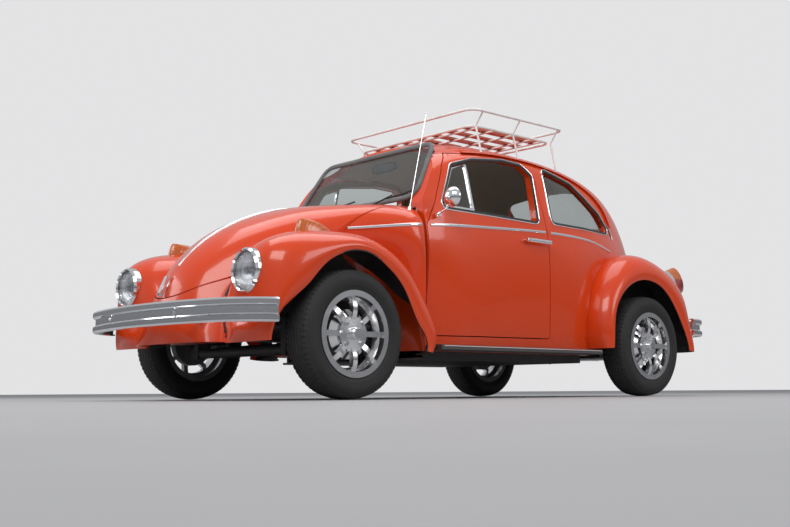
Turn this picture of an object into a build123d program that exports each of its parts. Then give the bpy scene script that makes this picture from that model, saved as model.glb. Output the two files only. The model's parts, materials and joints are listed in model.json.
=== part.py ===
from build123d import *
from math import cos, hypot, radians, sin, tan
import os

# ---------------------------------------------------------------- driving dimensions, millimetres
# X runs to the car's left, Y to its rear and Z up. The origin lies on the ground, mid-length.
overall_length = 4030.0
overall_width = 1550.0
roof_height = 1500.0
wheelbase = 2400.0
front_axle_y = -1270.0
rear_axle_y = front_axle_y + wheelbase

tyre_radius = 308.0
tyre_width = 182.0
wheel_x = 680.0  # middle of the tyre
rim_bead_radius = 188.0
rim_flange_radius = 207.0
rim_width = 158.0
rim_wall = 9.0
spoke_count = 8
lug_circle = 65.0

side_wall = 50.0  # doors and quarter panels, skin to trim
roof_wall = 26.0
skin = 8.0  # fenders and other single sheets
nose_wall = 18.0
panel_gap = 5.5
seal_gap = 0.3
glass_thickness = 5.0

sill_z = 245.0
door_sill_z = 322.0
tail_z = 350.0  # lower edge of the body behind the sills
tunnel_top_z = 325.0
well_z = 430.0  # underside of the luggage floor
apron_z = 272.0
roof_split_x = 502.0

# The cabin's ribs stand upright as far as the fan line, then lean back about it down to the tail.
cabin_fan_y = 680.0
cabin_fan_z = 100.0
cabin_foot = 120.0
# The nose's ribs lean forward about a line under the cowl.
nose_fan_y = -690.0
nose_fan_z = 50.0
nose_foot = 150.0

screen_foot_y = -672.0
screen_foot_z = 1032.0
screen_lean = 31.5  # back from upright

door_front_y = -670.0
steer_arm = 110.0


# ---------------------------------------------------------------- helpers
def radial_plane(y, z, lean):
    """A plane through the line at (y, z) along X; its local Y leans back by lean degrees."""
    return Plane(origin=(0, y, z), x_dir=(1, 0, 0), z_dir=(0, -cos(radians(lean)), sin(radians(lean))))


def inset_curve(points, insets):
    """The points of a curve, each moved to its right-hand side by its own inset."""
    moved = []
    for i, (x, y) in enumerate(points):
        x0, y0 = points[max(i - 1, 0)]
        x1, y1 = points[min(i + 1, len(points) - 1)]
        length = hypot(x1 - x0, y1 - y0)
        moved.append((x + (y1 - y0) / length * insets[i], y - (x1 - x0) / length * insets[i]))
    return moved


def arch(half, side_inset, top_inset):
    """A whole rib from its left half (foot first, crown last), moved inward from the skin."""
    widest = max(x for x, _ in half)
    right = [(-x, r) for x, r in half]
    left = [(x, r) for x, r in reversed(half[:-1])]
    insets = [top_inset + (side_inset - top_inset) * (x / widest) ** 2 for x, _ in right + left]
    moved = inset_curve(right + left, insets)
    moved[0] = (-half[0][0] + side_inset, half[0][1])
    moved[-1] = (half[0][0] - side_inset, half[0][1])
    return moved


def lofted_shell(stations, outer, inner):
    """The wall between two insets (side, top) from the skin, lofted through the ribs."""
    with BuildPart() as shell:
        for plane, half in stations:
            with BuildSketch(plane):
                with BuildLine():
                    out = Spline(*arch(half, *outer))
                    back = Spline(*arch(half, *inner))
                    Line(out @ 0, back @ 0)
                    Line(out @ 1, back @ 1)
                make_face()
        loft()
    return shell.part


def lofted_solid(stations, inset):
    """Everything inside the skin, less an inset, lofted through the ribs."""
    with BuildPart() as solid:
        for plane, half in stations:
            with BuildSketch(plane):
                with BuildLine():
                    out = Spline(*arch(half, inset, inset))
                    Line(out @ 0, out @ 1)
                make_face()
        loft()
    return solid.part


def side_prism(points, radius, grow=0.0, near=300.0, far=900.0):
    """A block with a side-view outline of (y, z) points, on the car's left."""
    with BuildPart() as prism:
        with BuildSketch(Plane.YZ.offset(near)):
            with BuildLine():
                Polyline(*points, close=True)
            make_face()
            fillet(vertices(), radius)
            if grow:
                offset(amount=grow)
        extrude(amount=far - near)
    return prism.part


def facing_prism(plane, points, radius, grow=0.0, depth=700.0):
    """A block whose outline, given by its left half, is the same on both sides of the car's middle."""
    with BuildPart() as prism:
        with BuildSketch(plane):
            with BuildLine():
                Polyline(*points, *[(-x, y) for x, y in reversed(points)], close=True)
            make_face()
            fillet(vertices(), radius)
            if grow:
                offset(amount=grow)
        extrude(amount=depth, both=True)
    return prism.part


def block(x0, x1, y0, y1, z0, z1):
    """A plain box between two corners."""
    with BuildPart() as box:
        with Locations(((x0 + x1) / 2, (y0 + y1) / 2, (z0 + z1) / 2)):
            Box(abs(x1 - x0), abs(y1 - y0), abs(z1 - z0))
    return box.part


def rod(start, end, radius):
    """A round bar between two points."""
    direction = Vector(*end) - Vector(*start)
    with BuildPart() as bar:
        with BuildSketch(Plane(origin=start, z_dir=direction)):
            Circle(radius)
        extrude(amount=direction.length)
    return bar.part


def mirrored(part):
    """The same piece on the car's right."""
    with BuildPart() as other:
        mirror(part, about=Plane.YZ)
    return other.part


def save(part, name):
    """Label a finished piece and write its STEP file."""
    part.label = name
    export_step(part, f"parts/{name}.step")


os.makedirs("parts", exist_ok=True)


# ---------------------------------------------------------------- body surfaces
def cabin_half(foot, waist, belt, rail, crown):
    """Half a cabin rib: heights are shares of its crown."""
    return [
        (foot, cabin_foot),
        (waist, 0.44 * crown),
        (belt, 0.60 * crown),
        (0.5 * (belt + rail) + 3, 0.79 * crown),
        (rail, 0.905 * crown),
        (0.70 * rail, 0.962 * crown),
        (0.36 * rail, 0.991 * crown),
        (0, crown),
    ]


def nose_half(widths, crown):
    """Half a nose rib: widths at fixed shares of its crown."""
    shares = (0.45, 0.64, 0.80, 0.89, 0.955, 0.988)
    return [(widths[0], nose_foot)] + [(w, s * crown) for w, s in zip(widths, shares)] + [(0, crown)]


cabin_stations = []
for y, foot, waist, belt, rail, drop in (
    (-690, 618, 640, 638, 520, 205),
    (-450, 624, 652, 645, 532, 75),
    (-150, 627, 657, 648, 535, 8),
    (250, 625, 655, 648, 530, 0),
):
    plane = radial_plane(y, cabin_fan_z, 0)
    cabin_stations.append((plane, cabin_half(foot, waist, belt, rail, roof_height - cabin_fan_z - drop)))
for lean, foot, waist, belt, rail, drop in (
    (0, 618, 640, 630, 502, 25),
    (18, 580, 590, 592, 465, 65),
    (36, 572, 566, 545, 395, 124),
    (54, 562, 545, 502, 330, 204),
    (72, 555, 520, 472, 300, 288),
    (90, 550, 500, 450, 275, 350),
):
    plane = radial_plane(cabin_fan_y, cabin_fan_z, lean)
    cabin_stations.append((plane, cabin_half(foot, waist, belt, rail, roof_height - cabin_fan_z - drop)))

nose_stations = []
for lean, crown, widths in (
    (0, 990, (636, 640, 634, 612, 540, 350)),
    (12, 1004, (545, 548, 588, 566, 492, 310)),
    (25, 1062, (424, 424, 486, 470, 378, 215)),
    (45, 1165, (400, 396, 400, 355, 262, 140)),
    (65, 1250, (385, 368, 325, 262, 188, 100)),
    (80, 1195, (395, 390, 385, 375, 340, 215)),
    (92, 1140, (395, 390, 385, 375, 340, 215)),
):
    nose_stations.append((radial_plane(nose_fan_y, nose_fan_z, -lean), nose_half(widths, crown)))

cabin_core = lofted_solid(cabin_stations, 0)
nose_core = lofted_solid(nose_stations, 0)
cabin_wall = lofted_shell(cabin_stations, (0, 0), (side_wall, roof_wall))


# ---------------------------------------------------------------- outlines of the openings
# Side-view outlines are (y, z) points; facing ones are (x, up the plane) points of the left half.
door_outline = [
    (door_front_y, door_sill_z),
    (door_front_y, 905),
    (-590, 1035),
    (-482, 1262),
    (-415, 1345),
    (-40, 1372),
    (165, 1366),
    (268, 1296),
    (294, 940),
    (313, door_sill_z + 8),
]
door_window = [(-545, 1015), (-415, 1262), (-246, 1314), (15, 1345), (175, 1340), (238, 1284), (218, 1003)]
quarter_window = [(352, 1016), (372, 1346), (640, 1288), (915, 1128), (1010, 1018)]
screen_half = [(462, 432), (525, 45)]
back_glass_half = [(400, 185), (345, -185)]
lid_half = [(262, 250), (335, 60), (322, -90), (230, -255)]
vent_bar_y = -292.0

screen_plane = radial_plane(screen_foot_y, screen_foot_z, screen_lean)
back_glass_plane = radial_plane(1270, 1262, 140)
lid_plane = radial_plane(1660, 710, 168)
hood_plane = radial_plane(-1230, 855, 45)

hood_rear = 481.0
hood_edge = [(505, 440), (474, 74), (372, -265), (262, -500), (150, -650), (0, -700)]
# In side view the hood ends above this line, where the nose's flanks begin.
hood_flank = [
    (-600, 955),
    (-800, 912),
    (-1100, 805),
    (-1250, 766),
    (-1354, 735),
    (-1495, 698),
    (-1581, 625),
    (-1660, 555),
    (-1740, 500),
    (-1960, 420),
]


def hood_prism(gap):
    """The hood's outline, drawn in by a gap, seen square on and cut straight through."""
    edge = hood_edge + [(-x, y) for x, y in reversed(hood_edge[:-1])]
    edge = inset_curve(edge, [gap] * len(edge))
    with BuildPart() as prism:
        with BuildSketch(hood_plane):
            with BuildLine():
                side = Spline(*edge)
                ThreePointArc(side @ 0, (0, hood_rear - gap), side @ 1)
            make_face()
            fillet(vertices(), 45)
        extrude(amount=900, both=True)
        with BuildSketch(Plane.YZ.offset(-900)):
            with BuildLine():
                flank = Spline(*[(y, z + gap) for y, z in hood_flank])
                Polyline(flank @ 1, (hood_flank[-1][0], 1400), (hood_flank[0][0], 1400), flank @ 0)
            make_face()
        extrude(amount=1800, mode=Mode.INTERSECT)
    return prism.part


def behind_screen(grow=0.0):
    """Everything behind the windscreen's plane and above the sills."""
    run = 700 * tan(radians(screen_lean))
    with BuildPart() as space:
        with BuildSketch(Plane.YZ.offset(-900)):
            with BuildLine():
                Polyline(
                    (screen_foot_y + grow, screen_foot_z),
                    (screen_foot_y + grow + run, screen_foot_z + 700),
                    (2200, screen_foot_z + 700),
                    (2200, tail_z),
                    (cabin_fan_y + 20, tail_z),
                    (cabin_fan_y + 20, sill_z),
                    (screen_foot_y + grow, sill_z),
                    close=True,
                )
            make_face()
        extrude(amount=1800)
    return space.part


# ---------------------------------------------------------------- cabin panels
with BuildPart() as cabin:
    add(cabin_wall)
    add(behind_screen(), mode=Mode.INTERSECT)

frame_depth = 30.0
screen_inset = 2.0
with BuildPart() as screen_surround:
    add(lofted_solid(cabin_stations, 0.4 * roof_wall))
    add(behind_screen(screen_inset), mode=Mode.INTERSECT)
    add(behind_screen(frame_depth), mode=Mode.SUBTRACT)
    add(block(-900, 900, -900, 900, 0, screen_foot_z - 25), mode=Mode.SUBTRACT)
    add(facing_prism(screen_plane, screen_half, 85), mode=Mode.SUBTRACT)

cowl_top_z = 1120.0
door_space = side_prism(door_outline, 22)
screen_cut = facing_prism(screen_plane, screen_half, 85, depth=70)
roof_strip = block(-roof_split_x, roof_split_x, -800, 2200, 1010, 1700)
cowl_strip = block(-roof_split_x, roof_split_x, -900, -500, 900, cowl_top_z)
tail_strip = block(-roof_split_x, roof_split_x, 900, 2200, 0, 1010)

with BuildPart() as header:
    add(screen_surround.part)
    add(roof_strip, mode=Mode.INTERSECT)
    add(cowl_strip, mode=Mode.SUBTRACT)

with BuildPart() as cowl_lip:
    add(screen_surround.part)
    add(cowl_strip, mode=Mode.INTERSECT)

with BuildPart() as roof_panel:
    add(cabin.part)
    add(roof_strip, mode=Mode.INTERSECT)
    add(header.part)
    add(facing_prism(back_glass_plane, back_glass_half, 110), mode=Mode.SUBTRACT)
    add(screen_cut, mode=Mode.SUBTRACT)
    add(door_space, mode=Mode.SUBTRACT)
    add(mirrored(door_space), mode=Mode.SUBTRACT)
save(roof_panel.part, "roof_panel")

with BuildPart() as rear_panel:
    add(cabin.part)
    add(tail_strip, mode=Mode.INTERSECT)
    add(facing_prism(lid_plane, lid_half, 70), mode=Mode.SUBTRACT)
save(rear_panel.part, "rear_panel")

# The drip rail stands proud of the skin, over the door and down behind the quarter window.
rack_front_y = -220.0
rack_rear_y = 600.0
leg_rows = (rack_front_y + 90, 190, rack_rear_y - 60)
rail_heights = (1378, 1384, 1354)  # of the drip rail under each pair of rack legs
rail_path = [(-290, 1363), *zip(leg_rows, rail_heights), (800, 1290), (900, 1243), (1000, 1160), (1048, 1060)]
rail_thickness = 9.0
rail_proud = 12.0
with BuildPart() as drip_rail:
    add(lofted_shell(cabin_stations, (-rail_proud, -rail_proud), (6, 6)))
    with BuildSketch(Plane.YZ.offset(roof_split_x)):
        with BuildLine():
            Spline(*rail_path)
        trace(line_width=rail_thickness)
    extrude(amount=400, mode=Mode.INTERSECT)

left_half = block(0, 900, -900, 2200, 0, 1700)
with BuildPart() as pillar:
    add(screen_surround.part)
    add(left_half, mode=Mode.INTERSECT)

with BuildPart() as side_left:
    add(cabin.part)
    add(left_half, mode=Mode.INTERSECT)
    add(pillar.part)
    add(screen_cut, mode=Mode.SUBTRACT)
    add(roof_strip, mode=Mode.SUBTRACT)
    add(tail_strip, mode=Mode.SUBTRACT)
    add(door_space, mode=Mode.SUBTRACT)
    add(side_prism(quarter_window, 38), mode=Mode.SUBTRACT)
    add(drip_rail.part)
save(side_left.part, "side_panel_left")
save(mirrored(side_left.part), "side_panel_right")

with BuildPart() as door:
    add(cabin.part)
    add(side_prism(door_outline, 22, -panel_gap), mode=Mode.INTERSECT)
    add(side_prism(door_window, 30), mode=Mode.SUBTRACT)
save(door.part, "door_left")
save(mirrored(door.part), "door_right")

# ---------------------------------------------------------------- bulkhead behind the rear bench
with BuildPart() as rear_bulkhead:
    add(lofted_solid(cabin_stations, side_wall + 2 * seal_gap))
    with BuildSketch(Plane.YZ.offset(-560)):
        with BuildLine():
            Polyline(
                (889, tail_z + 8),
                (1001, 905),
                (1330, 985),
                (1330, 997),
                (989, 918),
                (877, tail_z + 8),
                close=True,
            )
        make_face()
    extrude(amount=1120, mode=Mode.INTERSECT)
save(rear_bulkhead.part, "rear_bulkhead")

# ---------------------------------------------------------------- glass
with BuildPart() as windscreen:
    with BuildSketch(screen_plane):
        with BuildLine():
            Polyline(*screen_half, *[(-x, y) for x, y in reversed(screen_half)], close=True)
        make_face()
        fillet(vertices(), 85)
        offset(amount=-seal_gap)
    extrude(amount=-2 * glass_thickness)
save(windscreen.part, "windscreen")

pane = lofted_shell(cabin_stations, (18, 8), (18 + glass_thickness, 8 + glass_thickness))
with BuildPart() as back_pane:
    add(pane)
    add(block(-900, 900, 800, 2200, 900, 1700), mode=Mode.INTERSECT)
    add(facing_prism(back_glass_plane, back_glass_half, 110, -seal_gap), mode=Mode.INTERSECT)
with BuildPart() as quarter_pane:
    add(pane)
    add(side_prism(quarter_window, 38, -seal_gap), mode=Mode.INTERSECT)
with BuildPart() as fixed_glass:
    add(back_pane.part)
    add(quarter_pane.part)
    add(mirrored(quarter_pane.part))
save(fixed_glass.part, "rear_and_quarter_glass")

with BuildPart() as vent_frame:
    add(lofted_shell(cabin_stations, (12, 12), (30, 30)))
    add(side_prism(door_window, 30, -seal_gap), mode=Mode.INTERSECT)
    add(block(300, 900, -900, vent_bar_y, 900, 1400), mode=Mode.INTERSECT)
    add(
        side_prism([(-520, 1030), (-405, 1246), (vent_bar_y - 14, 1284), (vent_bar_y - 14, 1028)], 12),
        mode=Mode.SUBTRACT,
    )
save(vent_frame.part, "vent_frame_left")
save(mirrored(vent_frame.part), "vent_frame_right")
with BuildPart() as vent_pane:
    add(pane)
    add(
        side_prism(
            [(-520, 1030), (-405, 1246), (vent_bar_y - 14, 1284), (vent_bar_y - 14, 1028)], 12, -seal_gap
        ),
        mode=Mode.INTERSECT,
    )
save(vent_pane.part, "vent_glass_left")
save(mirrored(vent_pane.part), "vent_glass_right")

# ---------------------------------------------------------------- nose
nose_wall_part = lofted_shell(nose_stations, (0, 0), (nose_wall, nose_wall))
nose_lining = lofted_solid(nose_stations, 0.5 * nose_wall)
with BuildPart() as bulkhead:
    add(nose_lining)
    add(block(-700, 700, nose_fan_y - 30, nose_fan_y - 15, sill_z, 965), mode=Mode.INTERSECT)
    add(block(-80, 80, -900, 0, 0, tunnel_top_z + 1), mode=Mode.SUBTRACT)
with BuildPart() as luggage_floor:
    add(nose_lining)
    add(block(-700, 700, -1560, nose_fan_y - 20, well_z, well_z + 10), mode=Mode.INTERSECT)

with BuildPart() as cowl:
    add(nose_wall_part)
    add(block(-900, 900, -1560, nose_fan_y, sill_z, 1200), mode=Mode.INTERSECT)
    add(block(-900, 900, -1600, nose_fan_y - 170, 0, well_z), mode=Mode.SUBTRACT)
    add(hood_prism(0), mode=Mode.SUBTRACT)
    add(bulkhead.part)
    add(luggage_floor.part)
save(cowl.part, "front_quarters")

with BuildPart() as spare_well:
    add(block(-300, 300, -1845, -1561, apron_z + 12, well_z + 10))
    add(block(-292, 292, -1900, -1569, apron_z + 20, well_z + 20), mode=Mode.SUBTRACT)
    add(nose_lining, mode=Mode.INTERSECT)

with BuildPart() as front_apron:
    add(nose_wall_part)
    add(block(-900, 900, -2100, -1560, apron_z, 1200), mode=Mode.INTERSECT)
    add(block(-900, 900, -1640, -1500, 0, well_z), mode=Mode.SUBTRACT)
    add(hood_prism(0), mode=Mode.SUBTRACT)
    add(spare_well.part)
save(front_apron.part, "front_apron")

with BuildPart() as hood:
    add(nose_wall_part)
    add(block(-900, 900, -2200, nose_fan_y - 5, 420, 1200), mode=Mode.INTERSECT)
    add(hood_prism(panel_gap), mode=Mode.INTERSECT)
save(hood.part, "hood")

with BuildPart() as engine_lid:
    add(cabin.part)
    add(facing_prism(lid_plane, lid_half, 70, -panel_gap), mode=Mode.INTERSECT)
    add(block(-900, 900, 1300, 2200, 0, 1100), mode=Mode.INTERSECT)

louvre_pitch = 26.0
louvre_width = 190.0
louvre_proud = 7.0
lid_lamp_z = 640.0
with BuildPart() as louvres:
    add(lofted_shell(cabin_stations, (-louvre_proud, -louvre_proud), (4, 4)))
    with BuildSketch(lid_plane.offset(-200)):
        for column in (-118, 118):
            with Locations((column, -145)):
                with GridLocations(0, louvre_pitch, 1, 5):
                    SlotOverall(louvre_width, 11)
    extrude(amount=500, mode=Mode.INTERSECT)
with BuildPart() as lid_lamp:
    with BuildSketch(Plane.YZ.offset(-62)):
        with BuildLine():
            Polyline(
                (1670, lid_lamp_z + 30),
                (1722, lid_lamp_z + 6),
                (1740, lid_lamp_z - 28),
                (1680, lid_lamp_z - 28),
                close=True,
            )
        make_face()
    extrude(amount=124)
    fillet(lid_lamp.edges().filter_by(Axis.X).group_by(Axis.Y)[-1], 10)
with BuildPart() as dressed_lid:
    add(engine_lid.part)
    add(louvres.part)
    add(lid_lamp.part)
save(dressed_lid.part, "engine_lid")

# ---------------------------------------------------------------- fenders
# Each rib stands in a plane through the wheel's axle: angle forward of upright, crown and arch radii,
# how far inboard its inner edge reaches and how far it dips there, and how far its face draws in
# from the car's full width.
def fender_ribs(axle_y, rows):
    """Planes and outer curves of a left fender's ribs, inner edge first and arch lip last."""
    ribs = []
    for lean, crown, arch_radius, inner_x, dip, draw_in in rows:
        rise = crown - arch_radius
        face_x = overall_width / 2 - draw_in
        top_x = 0.5 * (inner_x + face_x - 80)
        curve = [
            (inner_x, crown - dip),
            (inner_x + 0.4 * (top_x - inner_x), crown - 0.38 * dip),
            (top_x, crown + 3 - 0.04 * dip),
            (face_x - 80, crown - 0.07 * rise),
            (face_x - 24, crown - 0.34 * rise),
            (face_x, crown - 0.70 * rise),
            (face_x - 8, arch_radius),
        ]
        ribs.append((radial_plane(axle_y, tyre_radius, -lean), curve))
    return ribs


def fender_sheet(ribs):
    """The fender's sheet, lofted through its ribs."""
    with BuildPart() as sheet:
        for plane, curve in ribs:
            with BuildSketch(plane):
                with BuildLine():
                    out = Spline(*curve)
                    back = Spline(*inset_curve(curve, [skin] * len(curve)))
                    Line(out @ 0, back @ 0)
                    Line(out @ 1, back @ 1)
                make_face()
        loft()
    return sheet.part


front_rows = (
    (-99, 556, 466, 590, 4, 7),
    (-84, 592, 425, 590, 4, 5),
    (-68, 545, 388, 545, 8, 3),
    (-50, 524, 386, 475, 18, 2),
    (-30, 508, 387, 425, 34, 2),
    (-10, 495, 396, 410, 70, 2),
    (12, 499, 385, 380, 95, 3),
    (32, 546, 366, 320, 124, 7),
    (50, 580, 352, 300, 176, 17),
    (66, 524, 380, 272, 104, 33),
    (82, 486, 425, 300, 48, 57),
    (95, 474, 440, 320, 10, 75),
)
rear_rows = (
    (93, 445, 385, 560, 4, 0),
    (85, 460, 378, 560, 4, 0),
    (60, 505, 405, 560, 4, 0),
    (38, 546, 418, 540, 4, 0),
    (15, 574, 414, 520, 4, 0),
    (-5, 568, 404, 500, 4, 0),
    (-20, 563, 394, 480, 4, 0),
    (-37, 576, 378, 455, 4, 0),
    (-54, 573, 370, 430, 4, 0),
    (-70, 535, 380, 420, 4, 0),
    (-85, 533, 407, 410, 4, 0),
    (-93, 535, 420, 410, 4, 0),
)

lamp_x = 546.0
lamp_y = -1741.0
lamp_z = 592.0
lamp_radius = 92.0
lamp_ring_radius = 106.0

with BuildPart() as lamp_bucket:
    with BuildSketch(Plane(origin=(lamp_x, lamp_y + 20, lamp_z), z_dir=(0, -1, 0))):
        Circle(lamp_ring_radius - 4)
    with BuildSketch(Plane(origin=(lamp_x + 4, lamp_y + 120, lamp_z - 12), z_dir=(0, -1, 0))):
        Circle(lamp_ring_radius + 6)
    loft()

fender_gap = 0.6  # the beading between a fender and the body

with BuildPart() as front_fender:
    add(fender_sheet(fender_ribs(front_axle_y, front_rows)))
    add(lofted_solid(nose_stations, -fender_gap), mode=Mode.SUBTRACT)
    add(block(0, 900, nose_fan_y - 2, 0, 0, 1200), mode=Mode.SUBTRACT)
    add(lamp_bucket.part)
    lamp_seat = rod((lamp_x, lamp_y + 20, lamp_z), (lamp_x, lamp_y - 60, lamp_z), lamp_ring_radius + 1)
    add(lamp_seat, mode=Mode.SUBTRACT)
save(front_fender.part, "front_fender_left")
save(mirrored(front_fender.part), "front_fender_right")

with BuildPart() as rear_fender:
    add(fender_sheet(fender_ribs(rear_axle_y, rear_rows)))
    add(lofted_solid(cabin_stations, -fender_gap), mode=Mode.SUBTRACT)
save(rear_fender.part, "rear_fender_left")
save(mirrored(rear_fender.part), "rear_fender_right")

# ---------------------------------------------------------------- running boards
board_front_y = nose_fan_y + 4
board_rear_y = 650.0
board_top_z = 274.0
with BuildPart() as boards:
    with Locations((685, (board_front_y + board_rear_y) / 2, board_top_z - 14)):
        Box(130, board_rear_y - board_front_y, 28)
    fillet(boards.edges().filter_by(Axis.Y).group_by(Axis.X)[-1], 9)
    add(cabin_core, mode=Mode.SUBTRACT)
    mirror(about=Plane.YZ)
save(boards.part, "running_boards")

# ---------------------------------------------------------------- bumpers
blade_height = 110.0
blade_depth = 34.0
blade_wall = 7.0
arm_x = 300.0
arm_length = 420.0
arm_set_back = 25.0  # the blade bows this far back where the arms meet it


def blade_profile():
    """Two rounded ribs and the groove between them, as an open channel; local X points outward."""
    rib = blade_height * 0.32
    with BuildSketch() as outline:
        with BuildLine():
            Polyline(
                (0, -blade_height / 2),
                (blade_depth - 8, -blade_height / 2),
                (blade_depth, -blade_height / 2 + 9),
                (blade_depth, -blade_height / 2 + rib - 6),
                (blade_depth - 14, -blade_height / 2 + rib + 4),
                (blade_depth - 14, blade_height / 2 - rib - 4),
                (blade_depth, blade_height / 2 - rib + 6),
                (blade_depth, blade_height / 2 - 9),
                (blade_depth - 8, blade_height / 2),
                (0, blade_height / 2),
                (0, blade_height / 2 - blade_wall),
                (blade_depth - 14 - blade_wall, blade_height / 2 - blade_wall),
                (blade_depth - 14 - blade_wall, -blade_height / 2 + blade_wall),
                (0, -blade_height / 2 + blade_wall),
                close=True,
            )
        make_face()
    return outline.sketch


def bumper(face_y, forward, middle_z, end_y, half_span, corner_x, corner_drop, core):
    """The blade swept round the car's end on two arms; forward is -1 at the front and 1 at the rear."""
    inner_y = face_y - forward * blade_depth
    with BuildPart() as blade:
        with BuildLine() as path:
            middle = TangentArc(
                (0, inner_y, middle_z),
                (corner_x, inner_y - forward * corner_drop, middle_z),
                tangent=(1, 0, 0),
            )
            TangentArc(middle @ 1, (half_span - blade_depth, end_y, middle_z), tangent=middle % 1)
        with BuildSketch(Plane(origin=(0, inner_y, middle_z), x_dir=(0, forward, 0), z_dir=(1, 0, 0))):
            add(blade_profile())
        sweep(path=path.wires()[0])
    web_y = inner_y + forward * (blade_depth - 14 - blade_wall / 2) - forward * arm_set_back
    with BuildPart() as arm:
        add(rod((arm_x, web_y, middle_z), (arm_x - 40, web_y - forward * arm_length, middle_z), 15))
        add(core, mode=Mode.SUBTRACT)
    with BuildPart() as whole:
        add(blade.part)
        add(arm.part)
        mirror(about=Plane.YZ)
    return whole.part


front_span = overall_width / 2 - 3
rear_span = overall_width / 2 - 30
front_bumper = bumper(-overall_length / 2, -1, 402, -1712, front_span, 520, 70, nose_core)
save(front_bumper, "front_bumper")
rear_bumper = bumper(overall_length / 2, 1, 445, 1650, rear_span, 520, 70, cabin_core)
save(rear_bumper, "rear_bumper")

# ---------------------------------------------------------------- lamps
ring_depth = 46.0
with BuildPart() as ring:
    with BuildSketch(Plane.XZ) as ring_profile:
        with BuildLine():
            Polyline(
                (lamp_radius, 3),
                (lamp_ring_radius, 3),
                (lamp_ring_radius, ring_depth - 12),
                (lamp_ring_radius - 9, ring_depth),
                (lamp_radius, ring_depth - 8),
                close=True,
            )
        make_face()
    revolve(axis=Axis.Z)
with BuildPart() as lens:
    with BuildSketch(Plane.XZ):
        with BuildLine():
            bulge = TangentArc((0, ring_depth), (lamp_radius - seal_gap, ring_depth - 16), tangent=(1, 0))
            Polyline(bulge @ 1, (lamp_radius - seal_gap, 6), (0, 6), bulge @ 0)
        make_face()
    revolve(axis=Axis.Z)

lamp_plane = Plane(origin=(lamp_x, lamp_y + 22, lamp_z), x_dir=(1, 0, 0), z_dir=(0, -1, 0))
with BuildPart() as headlamp_rings:
    with Locations(lamp_plane.location):
        add(ring.part)
    mirror(about=Plane.YZ)
save(headlamp_rings.part, "headlamp_rings")
with BuildPart() as headlamp_lenses:
    with Locations(lamp_plane.location):
        add(lens.part)
    mirror(about=Plane.YZ)
save(headlamp_lenses.part, "headlamp_lenses")

indicator_x = 572.0
indicator_plane = Plane(origin=(indicator_x, -1370, 812), x_dir=(1, 0, 0), z_dir=(0, 0.06, 1))
with BuildPart() as indicators:
    with BuildSketch(indicator_plane.offset(-26)):
        with Locations((0, 0)):
            Ellipse(40, 118)
    with BuildSketch(indicator_plane.offset(14)):
        with Locations((0, -14)):
            Ellipse(33, 96)
    with BuildSketch(indicator_plane.offset(40)):
        with Locations((0, -44)):
            Ellipse(20, 52)
    loft()
    add(front_fender.part, mode=Mode.SUBTRACT)
    solids_above = indicators.part.solids().sort_by(Axis.Z)[-1]
with BuildPart() as indicator_pair:
    add(solids_above)
    mirror(about=Plane.YZ)
save(indicator_pair.part, "front_indicators")

tail_x = 640.0
with BuildPart() as tail_lamp:
    with BuildSketch(Plane(origin=(tail_x, 1490, 690), x_dir=(1, 0, 0), z_dir=(0, 0.9, 0.44))):
        Ellipse(58, 112)
    with BuildSketch(Plane(origin=(tail_x, 1490, 690), x_dir=(1, 0, 0), z_dir=(0, 0.9, 0.44)).offset(150)):
        Ellipse(46, 92)
    loft()
    add(rear_fender.part, mode=Mode.SUBTRACT)
    outer_piece = tail_lamp.part.solids().sort_by(Axis.Y)[-1]
with BuildPart() as tail_pair:
    add(outer_piece)
    mirror(about=Plane.YZ)
save(tail_pair.part, "tail_lamps")

# ---------------------------------------------------------------- wheels, axle along Z, outside up
half_width = tyre_width / 2
with BuildPart() as tyre:
    with BuildSketch(Plane.XZ) as section:
        with BuildLine():
            Line((rim_bead_radius, -66), (rim_flange_radius + 2, -74))
            ThreePointArc((rim_flange_radius + 2, -74), (258, -half_width), (292, -72))
            ThreePointArc((292, -72), (300, -67), (303, -60))
            ThreePointArc((303, -60), (tyre_radius, 0), (303, 60))
            ThreePointArc((303, 60), (300, 67), (292, 72))
            ThreePointArc((292, 72), (258, half_width), (rim_flange_radius + 2, 74))
            Line((rim_flange_radius + 2, 74), (rim_bead_radius, 66))
            Line((rim_bead_radius, 66), (rim_bead_radius, -66))
        make_face()
    revolve(axis=Axis.Z)

flange = rim_width / 2
well_radius = 160.0
hub_radius = 84.0
drum_radius = 118.0
# one spoke: convex outside, from the hub out to the barrel
with BuildPart() as spoke:
    with BuildSketch(Plane.XZ):
        with BuildLine():
            ThreePointArc((62, flange - 22), (130, flange - 4), (rim_bead_radius - 4, flange - 26))
            Line((rim_bead_radius - 4, flange - 26), (rim_bead_radius - 4, flange - 46))
            ThreePointArc((rim_bead_radius - 4, flange - 46), (128, flange - 32), (62, flange - 40))
            Line((62, flange - 40), (62, flange - 22))
        make_face()
    extrude(amount=13, both=True)

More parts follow.
